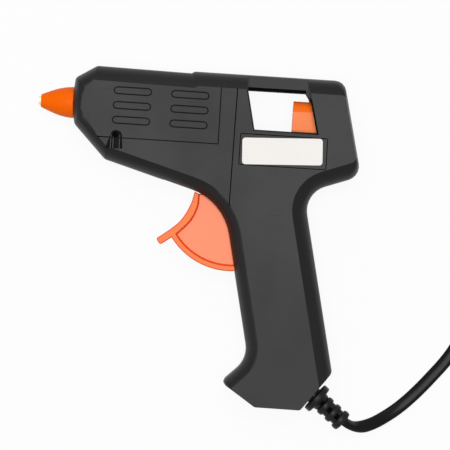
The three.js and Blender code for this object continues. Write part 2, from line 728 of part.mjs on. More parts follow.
    // Pilot holes of the case screws
    for (const [x, y] of bossShares) {
      cuts.push(roundZ(along(x), up(y), screwBore, -overrun, caseHalfWidth - boss.floor, 10));
    }
  } else {
    // Counterbored holes of the case screws
    for (const [x, y] of bossShares) {
      cuts.push(roundZ(along(x), up(y), screwBore, -overrun, caseHalfWidth + overrun, 10));
      cuts.push(roundZ(along(x), up(y), caseScrew.headRadius + clearance,
        caseHalfWidth - boss.headDepth, caseHalfWidth + overrun, 14));
    }
  }
  for (const cut of cuts) shell = shell.subtract(cut);
  if (isLeft) return shell;

  // The right shell is the mirror image. It also carries the posts and the saddle of the cord.
  shell = shell.scale([1, 1, -1]);
  const roof = caseHalfWidth - wall / 2;
  const postTop = cord.height / 2;
  for (const across of [-clamp.screwAt, clamp.screwAt]) {
    const at = reliefPoint(-clamp.centre, across);
    shell = shell.add(roundZ(at.x, at.y, clampPost.radius, -roof, postTop, 16));
    shell = shell.subtract(roundZ(at.x, at.y, clampScrew.radius + clearance,
      postTop - clampScrew.length, postTop + overrun, 12));
  }
  const saddle = block(-clamp.centre - rib / 2, -clamp.centre + rib / 2, -clampPost.saddleHalf,
    clampPost.saddleHalf, -roof, -cord.height / 2 - clearance);
  return shell.add(ontoRelief(saddle));
}

// Nozzle, sleeve, chamber and stick guide

function nozzleTip() {
  const seat = nozzle.collar + nozzle.spigot;
  return turned([
    [-nozzle.reach, nozzle.orificeRadius], [-nozzle.reach, nozzle.tipRadius],
    [-nozzle.coneBack, nozzle.baseRadius], [nozzle.collar, nozzle.baseRadius],
    [nozzle.collar, nozzle.spigotRadius], [seat, nozzle.spigotRadius],
    [seat, nozzle.boreRadius], [-nozzle.reach / 2, nozzle.boreRadius],
    [-nozzle.reach, nozzle.orificeRadius],
  ], 20);
}

function nozzleSleeve() {
  const outer = [];
  for (let step = 0; step <= sleeve.steps; step++) {
    const share = step / sleeve.steps;
    const bulge = Math.sin(share * Math.PI / 2);
    const growth = THREE.MathUtils.lerp(bulge, share, sleeve.taperShare);
    outer.push([-sleeve.reach * (1 - share), THREE.MathUtils.lerp(sleeve.tipRadius, sleeve.baseRadius, growth)]);
  }
  const flangeEnd = sleeve.flangeStart + sleeve.flange;
  const coneShare = (nozzle.reach - sleeve.reach) / (nozzle.reach - nozzle.coneBack);
  const frontBore = nozzle.tipRadius + (nozzle.baseRadius - nozzle.tipRadius) * coneShare + clearance;
  const backBore = nozzle.baseRadius + clearance;
  return turned([
    [-sleeve.reach, frontBore], [-sleeve.reach, sleeve.tipRadius - sleeve.lip],
    [sleeve.lip / 2 - sleeve.reach, sleeve.tipRadius], ...outer.slice(1),
    [sleeve.flangeStart, sleeve.baseRadius], [sleeve.flangeStart, sleeve.flangeRadius],
    [flangeEnd, sleeve.flangeRadius], [flangeEnd, sleeve.baseRadius],
    [sleeve.back, sleeve.baseRadius], [sleeve.back, backBore], [-nozzle.coneBack, backBore],
    [-sleeve.reach, frontBore],
  ], 24);
}

function meltChamber() {
  const spigotRoom = nozzle.spigotRadius + clearance;
  const spigotEnd = nozzle.collar + nozzle.spigot + clearance;
  const body = turned([
    [chamber.bossStart, spigotRoom], [chamber.bossStart, chamber.bossRadius],
    [chamber.bodyStart, chamber.bossRadius], [chamber.bodyStart, chamber.radius],
    [chamber.end, chamber.radius], [chamber.end, chamber.boreRadius],
    [chamber.throatEnd, chamber.boreRadius], [spigotEnd, chamber.throatRadius],
    [spigotEnd, spigotRoom], [chamber.bossStart, spigotRoom],
  ]);
  const bore = turned([
    [spigotEnd, 0], [spigotEnd, chamber.throatRadius], [chamber.throatEnd, chamber.boreRadius],
    [chamber.end + overrun, chamber.boreRadius], [chamber.end + overrun, 0], [spigotEnd, 0],
  ]);
  const housing = block(heaterBlock.start, heaterBlock.end, -heaterBlock.drop, 0,
    -heaterBlock.halfWidth, heaterBlock.halfWidth);
  const pocket = block(heaterBlock.start + heaterBlock.wall, heaterBlock.end + overrun, pocketFloor,
    pocketRoof, heaterBlock.wall - heaterBlock.halfWidth, heaterBlock.halfWidth - heaterBlock.wall);
  return body.add(housing.subtract(bore)).subtract(pocket);
}

function stickGuide() {
  return turned([
    [guideStart, guide.boreRadius], [guideStart, guide.flangeRadius],
    [guideStart + guide.flange, guide.flangeRadius], [guideStart + guide.flange, guide.radius],
    [guideEnd, guide.radius], [guideEnd, guide.boreRadius], [guideStart, guide.boreRadius],
  ]);
}

// Heater: a ceramic tablet between two contact plates, inside a sleeve of insulating film

const heaterStart = heaterBlock.start + heaterBlock.wall + heater.inset;
const heaterEnd = heaterBlock.end - heater.inset;

function heaterTablet() {
  return block(heaterStart, heaterEnd, heaterMiddle - heater.height / 2,
    heaterMiddle + heater.height / 2, -heater.halfWidth, heater.halfWidth);
}

function contactPlate(side) {
  const near = heaterMiddle + side * (heater.height / 2 + clearance);
  const far = near + side * heater.plate;
  const low = Math.min(near, far);
  const high = Math.max(near, far);
  const plate = block(heaterStart, heaterEnd, low, high, -heater.halfWidth, heater.halfWidth);
  const middle = side * heater.halfWidth / 2;
  const tab = block(heaterEnd - overrun, heaterBlock.end + heater.tab, low, high,
    middle - heater.tabHalf, middle + heater.tabHalf);
  return plate.add(tab);
}

function insulationFilm() {
  const half = heater.halfWidth + clearance + heater.film;
  const outside = block(heaterStart - heater.inset / 2, heaterBlock.end - heater.inset / 2,
    heaterMiddle - filmHeight / 2, heaterMiddle + filmHeight / 2, -half, half);
  const inside = block(0, caseLength, heaterMiddle - filmHeight / 2 + heater.film,
    heaterMiddle + filmHeight / 2 - heater.film, heater.film - half, half - heater.film);
  return outside.subtract(inside);
}

function heaterClip() {
  const outerHalf = heaterBlock.halfWidth + clearance + clip.sheet;
  const bottom = -(heaterBlock.drop + clearance);
  const strap = block(clip.start, clip.start + clip.length, bottom - clip.sheet, -clip.rise,
    -outerHalf, outerHalf);
  const room = block(0, caseLength, bottom, 0, clip.sheet - outerHalf, outerHalf - clip.sheet);
  return strap.subtract(room);
}

// Carriage: a block with a crowned top that rides on the window's floor. Its two cheeks reach down
// on both sides of the trigger's arm and hold the driving pin.

function feedCarriage() {
  const half = carriage.half;
  const crown = carriage.crown;
  const outline = [vec(-half, -half), vec(half, -half)];
  for (let step = 0; step <= 6; step++) {
    const angle = step / 6 * Math.PI / 2;
    outline.push(vec(half - crown + crown * Math.cos(angle), half - crown + crown * Math.sin(angle)));
  }
  for (let step = 0; step <= 6; step++) {
    const angle = Math.PI / 2 + step / 6 * Math.PI / 2;
    outline.push(vec(crown - half + crown * Math.cos(angle), half - crown + crown * Math.sin(angle)));
  }
  const geometry = new THREE.ExtrudeGeometry(new THREE.Shape(outline), {
    depth: carriage.length, bevelEnabled: false, steps: 1,
  });
  geometry.rotateY(Math.PI / 2);
  geometry.translate(carriageFront, 0, 0);
  let body = solidOf(geometry);
  body = body.subtract(roundX(carriage.boreRadius, carriageFront - overrun,
    carriageFront + carriage.length + overrun));
  const gripStart = carriageFront + grip.setback;
  body = body.subtract(block(gripStart, gripStart + grip.sheet + 2 * clearance, -grip.slotFloor,
    half + overrun, -grip.half - clearance, grip.half + clearance));
  const foot = legPinY - 2 * carriage.pinRadius;
  for (const side of [-1, 1]) {
    const near = side * carriage.cheekStart;
    const far = side * cheekEnd;
    body = body.add(block(carriageFront, carriageFront + carriage.legBack, foot, -carriage.cheekTop,
      Math.min(near, far), Math.max(near, far)));
  }
  const pinEnd = cheekEnd - carriage.pinEndIn;
  return body.add(roundZ(legX, legPinY, carriage.pinRadius, -pinEnd, pinEnd));
}

function gripPlate() {
  const start = carriageFront + grip.setback + clearance;
  const plate = block(start, start + grip.sheet, clearance - grip.slotFloor, grip.half, -grip.half, grip.half);
  return plate.subtract(roundX(grip.boreRadius, start - overrun, start + grip.sheet + overrun));
}

// Trigger: a flanged sector about its pivot, with a curved finger blade in front, a rounded rim
// below, a hub and a slotted arm inside the case

const fromPivot = ([x, y]) => vec(pivotX + x * trigger.reach, pivotY + y * trigger.reach);

function smooth(points, steps) {
  return new THREE.SplineCurve(points).getPoints(steps);
}

function pivotArc(radius, fromDegrees, toDegrees, steps) {
  const points = [];
  for (let step = 0; step <= steps; step++) {
    const angle = THREE.MathUtils.degToRad(fromDegrees + (toDegrees - fromDegrees) * step / steps);
    points.push(vec(pivotX + radius * Math.cos(angle), pivotY + radius * Math.sin(angle)));
  }
  return points;
}

// The place of the driving pin in the arm while the trigger turns and the carriage goes forward
function armSlotPath(steps) {
  const points = [];
  for (let step = 0; step <= steps; step++) {
    const turn = THREE.MathUtils.degToRad(pull.degrees) * step / steps;
    const pin = vec(legX - pull.feedPerRadian * turn - pivotX, pull.pinRise);
    points.push(pin.rotateAround(vec(0, 0), -turn).add(vec(pivotX, pivotY)));
  }
  return points;
}

// A corner of an outline, rounded over a given length of both its sides
function softened(before, corner, after, length) {
  const start = corner.clone().add(before.clone().sub(corner).setLength(length));
  const end = corner.clone().add(after.clone().sub(corner).setLength(length));
  return new THREE.QuadraticBezierCurve(start, corner, end).getPoints(3);
}

function feedTrigger() {
  const width = trigger.halfWidth;
  const front = smooth(bladeFrontShares.map(fromPivot), 10);
  const back = smooth(bladeBackShares.map(fromPivot), 10);
  const [beforeEnd, frontEnd] = front.slice(-2);
  const [backEnd, afterEnd] = back;
  const blade = prism([
    ...front.slice(0, -1), ...softened(beforeEnd, frontEnd, backEnd, trigger.endRound),
    ...softened(frontEnd, backEnd, afterEnd, trigger.endRound), ...back.slice(1),
  ], -width, width);
  const rimInner = trigger.reach - trigger.rim;
  const rimRing = [
    ...pivotArc(trigger.reach, -trigger.rimEnd, -trigger.innerEnd, 16),
    ...pivotArc(rimInner, -trigger.innerEnd, -trigger.rimEnd, 16),
  ];
  const rim = prism(rimRing, -width, width);
  const webBack = back.slice(3);
  const web = prism([
    ...webBack.reverse(), ...pivotArc(rimInner + trigger.rim / 2, -trigger.rimEnd, -trigger.innerEnd, 12),
    vec(pivotX, pivotY), vec(pivotX, pivotY + trigger.hubRadius / 2),
  ], -trigger.webHalfWidth, trigger.webHalfWidth);
  const hub = roundZ(pivotX, pivotY, trigger.hubRadius, -width, width);
  const path = armSlotPath(6);
  const tip = path[0];
  const armLine = tip.clone().sub(vec(pivotX, pivotY)).normalize();
  const armSide = vec(-armLine.y, armLine.x).multiplyScalar(trigger.armHalfHeight);
  const arm = prism([
    vec(pivotX, pivotY).sub(armSide), tip.clone().sub(armSide), tip.clone().add(armSide),
    vec(pivotX, pivotY).add(armSide),
  ], -trigger.armHalfWidth, trigger.armHalfWidth)
    .add(prism(strip(path, trigger.armHalfHeight), -trigger.armHalfWidth, trigger.armHalfWidth))
    .add(roundZ(tip.x, tip.y, trigger.armHalfHeight, -trigger.armHalfWidth, trigger.armHalfWidth));
  const slotHalf = carriage.pinRadius + clearance;
  const deep = trigger.armHalfWidth + overrun;
  const last = path[path.length - 1];
  const slot = prism(strip(path, slotHalf), -deep, deep)
    .add(roundZ(tip.x, tip.y, slotHalf, -deep, deep))
    .add(roundZ(last.x, last.y, slotHalf, -deep, deep));
  const pad = block(springBack - trigger.pad, springBack, springY - spring.radius - spring.wire,
    springY + spring.radius + spring.wire, -trigger.padHalfWidth, trigger.padHalfWidth);
  return blade.add(rim).add(web).add(hub).add(arm).add(pad).subtract(slot)
    .subtract(roundZ(pivotX, pivotY, pivotPin.radius + clearance, -width - overrun, width + overrun));
}

function triggerPin() {
  return roundZ(pivotX, pivotY, pivotPin.radius, -pivotPin.halfLength, pivotPin.halfLength);
}

// Return spring: one unbroken helix along X, 8 steps of 5 sides a curl, with straight ends
function returnSpring() {
  const steps = spring.turns * 8;
  const room = spring.back - spring.wire;
  const frames = [];
  for (let step = 0; step <= steps; step++) {
    const angle = step / 8 * 2 * Math.PI;
    const out = new THREE.Vector3(0, Math.cos(angle), Math.sin(angle));
    const point = new THREE.Vector3(springStart + spring.wire / 2 + room * step / steps, springY, 0)
      .addScaledVector(out, spring.radius);
    frames.push({ point, side: out, rise: new THREE.Vector3(1, 0, 0) });
  }
  const section = flatSection(spring.wire, spring.wire, 5);
  console.log('return spring, least gap to itself', leastGap(frames, section, 5).toFixed(2));
  return solidOf(windTube(frames, section));
}

// Fasteners, turned about Z with the head at the low side

function turnedZ(profile, x, y, sides = 16) {
  const geometry = new THREE.LatheGeometry(profile.map(([r, z]) => vec(r, z)), sides);
  geometry.rotateX(Math.PI / 2);
  geometry.translate(x, y, 0);
  return solidOf(geometry);
}

function caseScrewAt([x, y]) {
  const under = boss.headDepth - caseHalfWidth - clearance;
  const head = under - caseScrew.head;
  const end = under + caseScrew.length;
  return turnedZ([
    [0, head], [caseScrew.headRadius, head], [caseScrew.headRadius, under], [caseScrew.radius, under],
    [caseScrew.radius, end], [caseScrew.tipRadius, end + caseScrew.tip], [0, end + caseScrew.tip],
  ], along(x), up(y), 12);
}

function clampScrewAt(across) {
  const at = reliefPoint(-clamp.centre, across);
  const under = cord.height / 2 + clearance + clamp.height + clearance;
  const top = under + clampScrew.head;
  return turnedZ([
    [0, top], [clampScrew.headRadius, top], [clampScrew.headRadius, under], [clampScrew.radius, under],
    [clampScrew.radius, under - clampScrew.length], [0, under - clampScrew.length],
  ], at.x, at.y, 12);
}

function cordClamp() {
  const low = cord.height / 2 + clearance;
  let bar = ontoRelief(block(-clamp.centre - clamp.width / 2, -clamp.centre + clamp.width / 2,
    -clamp.halfLength, clamp.halfLength, low, low + clamp.height));
  for (const across of [-clamp.screwAt, clamp.screwAt]) {
    const at = reliefPoint(-clamp.centre, across);
    bar = bar.subtract(roundZ(at.x, at.y, clampScrew.radius + clearance, low - overrun,
      low + clamp.height + overrun, 12));
  }
  return bar;
}

// Strain relief: two flanges that trap the case's wall, and a stem with rounded ribs

function strainRelief() {
  const flangeBack = relief.flangeGap + relief.flange;
  const profile = [
    [-relief.inside, 0], [-relief.inside, relief.flangeInRadius],
    [relief.flangeIn - relief.inside, relief.flangeInRadius],
    [relief.flangeIn - relief.inside, relief.neckRadius],
    [relief.flangeGap, relief.neckRadius], [relief.flangeGap, relief.flangeRadius],
    [flangeBack, relief.flangeRadius], [flangeBack, relief.ribRadius - relief.rib / 4],
    [relief.firstRib - relief.rib / 2, relief.stemRadius],
  ];
  for (let i = 0; i < relief.ribs; i++) {
    const start = relief.firstRib + i * relief.ribPitch;
    const isLast = i + 1 === relief.ribs;
    const radius = isLast ? relief.endRadius : relief.ribRadius;
    const width = isLast ? relief.endRib : relief.rib;
    profile.push([start, relief.stemRadius], [start + width / 4, radius], [start + width * 3 / 4, radius]);
    if (!isLast) profile.push([start + width, relief.stemRadius]);
  }
  profile.push([reliefEnd, relief.endRadius - relief.rib / 4], [reliefEnd, 0]);
  let body = turned(profile, 20);
  // Notches on both sides of the stem, between the ribs, let it bend
  for (let i = 1; i < relief.ribs; i++) {
    const end = relief.firstRib + i * relief.ribPitch;
    const start = end - relief.ribPitch + relief.rib;
    for (const [low, high] of [[relief.notchFloor, relief.endRadius], [-relief.endRadius, -relief.notchFloor]]) {
      body = body.subtract(block(start, end, -relief.notchHalf, relief.notchHalf, low, high));
    }
  }
  return ontoRelief(body);
}

// Cord inside the handle: the flat cord up to the clamp, then the two leads to the heater

const cordSection = flatSection(cord.width, cord.height, 8);

function cordInHandle() {
  const start = -relief.inside - clearance;
  const end = start - innerCord.length;
  const shape = new THREE.Shape(cordSection.map(([x, y]) => vec(x, y)));
  const geometry = new THREE.ExtrudeGeometry(shape, { depth: start - end, bevelEnabled: false, steps: 1 });
  geometry.rotateX(Math.PI / 2);
  geometry.rotateZ(Math.PI / 2);
  geometry.translate(end, 0, 0);
  return ontoRelief(solidOf(geometry));
}

// Way points of a lead, as shares of the case, with its height over the split
const leadWayShares = [
  [0.74, -0.706], [0.8, -0.62], [0.79, -0.52], [0.77, -0.42], [0.745, -0.33], [0.69, -0.235],
  [0.6, -0.15], [0.53, -0.105],
];

function leadWire(side) {
  const section = flatSection(2 * lead.radius, 2 * lead.radius, lead.sides);
  const start = reliefPoint(-relief.inside - innerCord.length - 2 * clearance, side * cord.width / 4);
  const ahead = reliefPoint(-relief.inside - innerCord.length - 2 * clearance - 2 * lead.radius,
    side * cord.width / 4);
  const tabEnd = heaterBlock.end + heater.tab + crimp.length + clearance;
  const plateY = heaterMiddle + side * (heater.height / 2 + clearance + heater.plate / 2);
  const points = [
    new THREE.Vector3(start.x, start.y, 0),
    new THREE.Vector3(ahead.x, ahead.y, 0),
    ...leadWayShares.map(([x, y], i) => new THREE.Vector3(
      along(x), up(y), side * lead.level * (i === 0 ? lead.firstLevelShare : 1),
    )),
    new THREE.Vector3(tabEnd + 2 * lead.radius, plateY, side * heater.halfWidth / 2),
    new THREE.Vector3(tabEnd, plateY, side * heater.halfWidth / 2),
  ];
  return routeTube(points, section, lead.steps);
}

function crimpSleeve(side) {
  const start = heaterBlock.end + clearance;
  const plateY = heaterMiddle + side * (heater.height / 2 + clearance + heater.plate / 2);
  const end = heaterBlock.end + heater.tab + crimp.length;
  const sleeveBody = roundX(crimp.radius, heaterBlock.end + heater.tab / 2, end, 12)
    .translate([0, plateY, side * heater.halfWidth / 2]);
  const flat = block(start, heaterBlock.end + heater.tab + clearance, plateY - heater.plate / 2 - clearance,
    plateY + heater.plate / 2 + clearance, side * heater.halfWidth / 2 - heater.tabHalf - clearance,
    side * heater.halfWidth / 2 + heater.tabHalf + clearance);
  return sleeveBody.subtract(flat);
}

// Rating plate, left bare

function ratingPlate() {
  const floor = caseHalfWidth - recess.depth;
  const turn = THREE.MathUtils.degToRad(label.turn);
  const points = roundedRectangle(label.length, label.height, label.corner)
    .map(p => p.rotateAround(vec(0, 0), turn)
      .add(vec(along(recessShares[0]) + label.shift, up(recessShares[1]))));
  return prism(points, floor, floor + label.sheet);
}

// The free cord

const floorZ = -caseHalfWidth;

function cordLead() {
  const points = leadRoute.map(([x, y, z]) => new THREE.Vector3(x, y, z));
  return routeTube(points, cordSection, 36);
}

function coilRadius(fromMiddle) {
  const degrees = Math.abs(fromMiddle);
  const quick = THREE.MathUtils.smoothstep(degrees, 90, 270);
  const steady = Math.max(degrees - 270, 0) / 360;
  return coil.innerRadius + coil.pitch * (quick + steady);
}

function coilFrames() {
  const steps = Math.round(coil.turnDegrees / 360 * coil.stepsPerTurn);
  const middle = coil.turnDegrees / 2;
  const base = floorZ + coilLift + cord.height / 2;
  const points = [];
  for (let step = 0; step <= steps; step++) {
    const turned = coil.turnDegrees * step / steps;
    const radius = coilRadius(turned - middle);
    const angle = THREE.MathUtils.degToRad(coil.startDegrees - turned);
    const climb = THREE.MathUtils.smoothstep(turned - middle, -90, 90) * coil.layer;
    points.push(new THREE.Vector3(
      coilCentre[0] + radius * Math.cos(angle), coilCentre[1] + radius * Math.sin(angle), base + climb,
    ));
  }
  // Both ends run straight for one width of the cord
  const headingAt = turned => {
    const angle = THREE.MathUtils.degToRad(coil.startDegrees - turned);
    return new THREE.Vector3(Math.sin(angle), -Math.cos(angle), 0);
  };
  points.push(points[steps].clone().addScaledVector(headingAt(coil.turnDegrees), cord.width));
  points.unshift(points[0].clone().addScaledVector(headingAt(0), -cord.width));
  return points.map((point, i) => {
    const before = points[Math.max(i - 1, 0)];
    const after = points[Math.min(i + 1, points.length - 1)];
    const tangent = after.clone().sub(before).normalize();
    const side = new THREE.Vector3(tangent.y, -tangent.x, 0).normalize();
    return { point, side, rise: side.clone().cross(tangent) };
  });
}

function cordCoil() {
  const frames = coilFrames();
  const section = flatSection(cord.width, cord.height, coil.sides);
  console.log('coil, least gap to itself', leastGap(frames, section, 12).toFixed(2));
  return solidOf(windTube(frames, section));
}

function cordEnd() {
  const points = endRoute.map(([x, y, z]) => new THREE.Vector3(x, y, z));
  return routeTube(points, cordSection, 18);
}

function cordTie() {
  const angle = THREE.MathUtils.degToRad(tie.degrees);
  const outer = coilRadius(coil.turnDegrees / 2) + cord.width / 2 + clearance + tie.sheet;
  const innerEdge = coil.innerRadius - cord.width / 2 - clearance - tie.sheet;
  const top = floorZ + coilLift + coil.layer + cord.height + clearance;
  const half = tie.width / 2;
  const ring = block(innerEdge, outer, -half, half, floorZ, top + tie.sheet)
    .subtract(block(innerEdge + tie.sheet, outer - tie.sheet, -half - overrun, half + overrun,
      floorZ + tie.sheet, top));
  return ring.rotate([0, 0, THREE.MathUtils.radToDeg(angle)]).translate([coilCentre[0], coilCentre[1], 0]);
}

function ontoPlug(solid) {
  const [x, y] = endRoute[endRoute.length - 1];
  const heading = THREE.MathUtils.degToRad(plug.heading);
  return solid.rotate([0, 0, plug.heading]).translate([
    x + clearance * Math.cos(heading), y + clearance * Math.sin(heading), floorZ + plug.height / 2,
  ]);
}

function plugBody() {
  const half = plug.width / 2 - plug.edge;
  const neck = plug.neckWidth / 2 - plug.edge;
  const start = plug.bootLength;
  const end = plug.bootLength + plug.length - plug.edge;
  const side = [
    ...plugNeckShares.map((share) => vec(start + (end - start) * share, neck)),
    ...plugWaistShares.map(([share, wide]) => vec(start + (end - start) * share, half * wide)),
  ];
  const outline = [...side.map((point) => vec(point.x, -point.y)), ...side.reverse()];
  const geometry = new THREE.ExtrudeGeometry(new THREE.Shape(outline), {
    depth: plug.height - 2 * plug.edge, bevelEnabled: true, bevelThickness: plug.edge,
    bevelSize: plug.edge, bevelSegments: 2, steps: 1,
  });
  geometry.translate(0, 0, plug.edge - plug.height / 2);
  const boot = turned([
    [0, 0], [0, plug.bootRadius - plug.edge / 2], [plug.edge / 2, plug.bootRadius],
    [plug.bootLength + plug.edge, plug.bootRadius + plug.edge / 2], [plug.bootLength + plug.edge, 0],
  ], 16);
  let body = solidOf(geometry).add(boot);
  const face = plug.bootLength + plug.length;
  for (const side of [-1, 1]) {
    body = body.subtract(roundX(plug.pinRadius + clearance, face - plug.socket, face + overrun, 16)
      .translate([0, side * plug.pinSpacing / 2, 0]));
  }
  return ontoPlug(body);
}

function plugPin(side) {
  const face = plug.bootLength + plug.length;
  const tip = face + plug.pinLength;
  return ontoPlug(turned([
    [face - plug.socket + clearance, 0], [face - plug.socket + clearance, plug.pinRadius],
    [tip - plug.pinRadius, plug.pinRadius], [tip - plug.pinRadius / 4, plug.pinRadius * plug.pinTipShare],
    [tip, 0],
  ], 14).translate([0, side * plug.pinSpacing / 2, 0]));
}

// Materials

const finish = (color, roughness, metalness) => ({ color, roughness, metalness });
const casePlastic = finish(0x3a3b3c, 0.5, 0);
const orangePlastic = finish(0xf5823c, 0.42, 0);
const orangeSilicone = finish(0xfa6400, 0.5, 0);
const castMetal = finish(0x9fa2a6, 0.45, 0.9);
const brass = finish(0xb9a77c, 0.35, 1);
const steel = finish(0xa9acb0, 0.35, 1);
const ceramic = finish(0x4a4440, 0.8, 0);
const film = finish(0xc98a2b, 0.4, 0);
const whiteSilicone = finish(0xd8d4c8, 0.6, 0);
const rubber = finish(0x1a1a1b, 0.55, 0);
const cordJacket = finish(0x151516, 0.45, 0);
const brownJacket = finish(0x5a3a22, 0.5, 0);
const blueJacket = finish(0x2b4f86, 0.5, 0);
const paper = finish(0xefeee8, 0.55, 0);
const tieWire = finish(0x202021, 0.5, 0);

const applicator = new THREE.Group();
const body = new THREE.Group();
const freeCord = new THREE.Group();
applicator.add(body, freeCord);

function add(group, name, solid, look) {
  const mesh = new THREE.Mesh(geometryOf(solid), new THREE.MeshStandardMaterial(look));
  mesh.name = name;
  group.add(mesh);
}

add(body, 'left_shell', halfShell(true), casePlastic);
add(body, 'right_shell', halfShell(false), casePlastic);
add(body, 'rating_plate', ratingPlate(), paper);
add(body, 'nozzle_tip', nozzleTip(), brass);
add(body, 'nozzle_sleeve', nozzleSleeve(), orangeSilicone);
add(body, 'melt_chamber', meltChamber(), castMetal);
add(body, 'heater_tablet', heaterTablet(), ceramic);
add(body, 'contact_plate_upper', contactPlate(1), steel);
add(body, 'contact_plate_lower', contactPlate(-1), steel);
add(body, 'insulation_film', insulationFilm(), film);
add(body, 'heater_clip', heaterClip(), steel);
add(body, 'stick_guide', stickGuide(), whiteSilicone);
add(body, 'feed_carriage', feedCarriage(), orangePlastic);
add(body, 'grip_plate', gripPlate(), steel);
add(body, 'trigger', feedTrigger(), orangePlastic);
add(body, 'trigger_pin', triggerPin(), steel);
add(body, 'return_spring', returnSpring(), steel);
bossShares.forEach((place, i) => add(body, caseScrewNames[i], caseScrewAt(place), steel));
add(body, 'cord_clamp', cordClamp(), casePlastic);
add(body, 'clamp_screw_rear', clampScrewAt(clamp.screwAt), steel);
add(body, 'clamp_screw_front', clampScrewAt(-clamp.screwAt), steel);
add(body, 'cord_in_handle', cordInHandle(), cordJacket);
add(body, 'lead_live', leadWire(1), brownJacket);
add(body, 'lead_neutral', leadWire(-1), blueJacket);
add(body, 'crimp_live', crimpSleeve(1), steel);
add(body, 'crimp_neutral', crimpSleeve(-1), steel);
add(freeCord, 'strain_relief', strainRelief(), rubber);
add(freeCord, 'cord_lead', cordLead(), cordJacket);
add(freeCord, 'cord_coil', cordCoil(), cordJacket);
add(freeCord, 'cord_end', cordEnd(), cordJacket);
add(freeCord, 'cord_tie', cordTie(), tieWire);
add(freeCord, 'plug_body', plugBody(), rubber);
add(freeCord, 'plug_pin_left', plugPin(1), steel);
add(freeCord, 'plug_pin_right', plugPin(-1), steel);

// The origin is the middle of the body's foot on the surface it lies on
const span = new THREE.Box3().setFromObject(body);
const middle = span.getCenter(new THREE.Vector3());
applicator.position.set(-middle.x, -middle.y, -span.min.z);

export default applicator;
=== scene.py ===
import math

import bmesh
import bpy
from mathutils import Matrix, Vector


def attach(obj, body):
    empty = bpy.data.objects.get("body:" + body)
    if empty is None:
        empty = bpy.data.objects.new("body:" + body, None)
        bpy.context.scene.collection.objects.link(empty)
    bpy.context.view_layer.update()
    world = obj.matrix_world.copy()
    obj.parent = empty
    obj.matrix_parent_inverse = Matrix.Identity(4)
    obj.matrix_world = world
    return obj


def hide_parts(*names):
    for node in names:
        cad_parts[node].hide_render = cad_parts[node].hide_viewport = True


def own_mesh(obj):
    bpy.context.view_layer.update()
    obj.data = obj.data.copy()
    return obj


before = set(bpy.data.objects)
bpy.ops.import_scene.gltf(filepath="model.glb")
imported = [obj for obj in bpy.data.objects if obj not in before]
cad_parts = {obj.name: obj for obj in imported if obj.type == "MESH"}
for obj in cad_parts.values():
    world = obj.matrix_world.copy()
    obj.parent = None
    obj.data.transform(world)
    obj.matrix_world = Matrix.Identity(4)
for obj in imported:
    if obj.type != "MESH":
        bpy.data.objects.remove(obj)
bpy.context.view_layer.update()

MM = 0.001

# The design is drawn from the front of the case, with y = 0 on the barrel's axis and z = 0 on the
# split of the two shells. This is where that point lies in the row's frame, and then the height of
# the floor in the design, in millimetres.
DESIGN_ORIGIN = Vector((-53.804667, 53.245398, 13.0)) * MM
FLOOR_HEIGHT = -13.0


def at(x, y, z=0.0):
    """A point of the design, in millimetres, as a point of the row's frame."""
    return DESIGN_ORIGIN + Vector((x, y, z)) * MM


def in_design(point):
    """A point of the row's frame as a point of the design, in millimetres."""
    return (point - DESIGN_ORIGIN) / MM


def new_object(name, data):
    """An object of the scene that shows some data."""
    made = bpy.data.objects.new(name, data)
    bpy.context.scene.collection.objects.link(made)
    return made


# Camera

PHOTO_SPAN = 0.189
PHOTO_CENTRE = (67.3, -47.2)
LENS = 300.0
SENSOR = 36.0
ROLL = math.radians(3.7)
NEAREST, FARTHEST = 0.01, 20


def place_camera():
    data = bpy.data.cameras.new("photo_camera")
    data.lens = LENS
    data.sensor_width = SENSOR
    data.clip_start = NEAREST
    data.clip_end = FARTHEST
    camera = new_object("photo_camera", data)
    camera.location = at(*PHOTO_CENTRE) + Vector((0, 0, PHOTO_SPAN * LENS / SENSOR))
    camera.rotation_euler = (0, 0, ROLL)
    bpy.context.scene.camera = camera


place_camera()


# Mesh helpers

DOUBLES = 1e-7
NODE_DOUBLES = 2e-6
COPLANAR = math.radians(0.4)
FACE_WEIGHT = 80
LEVEL_TOLERANCE = 0.03
LEVEL_NORMAL = 0.99
MITRE_LIMIT = 0.5


def piece_from(name, form, material, body="body", replaces=(), smooth=38.0, weighted=True, smooth_at=None):
    """A finished piece from a bmesh: normals outward, smooth with sharp edges kept, riding a body.

    smooth is the angle, in degrees, up to which an edge stays smooth; smooth_at gives it for a place."""
    bmesh.ops.remove_doubles(form, verts=form.verts, dist=DOUBLES)
    bmesh.ops.recalc_face_normals(form, faces=form.faces)
    for face in form.faces:
        face.smooth = True
    for edge in form.edges:
        limit = smooth
        if smooth_at:
            limit = smooth_at((edge.verts[0].co + edge.verts[1].co) / 2)
        edge.smooth = len(edge.link_faces) == 2 and edge.calc_face_angle(0.0) < math.radians(limit)
    mesh = bpy.data.meshes.new(name)
    form.to_mesh(mesh)
    form.free()
    piece = new_object(name, mesh)
    for one in material if isinstance(material, tuple) else (material,):
        mesh.materials.append(one)
    if weighted:
        normals = piece.modifiers.new("face weighted normals", "WEIGHTED_NORMAL")
        normals.keep_sharp = True
        normals.weight = FACE_WEIGHT
    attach(piece, body)
    if replaces:
        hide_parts(*replaces)
    return piece


def merged_copy(node):
    """A merged copy of a CAD node's mesh, with its coplanar triangles joined again."""
    form = bmesh.new()
    form.from_mesh(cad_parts[node].data)
    bmesh.ops.remove_doubles(form, verts=form.verts, dist=NODE_DOUBLES)
    bmesh.ops.dissolve_limit(form, angle_limit=COPLANAR, verts=form.verts, edges=form.edges)
    return form


def dressed(node, material, body="body", form=None, **finish):
    """A piece that stands for a CAD node, from a form of its own or from the node's mesh."""
    return piece_from(f"{node}_skin", form or merged_copy(node), material, body, (node,), **finish)


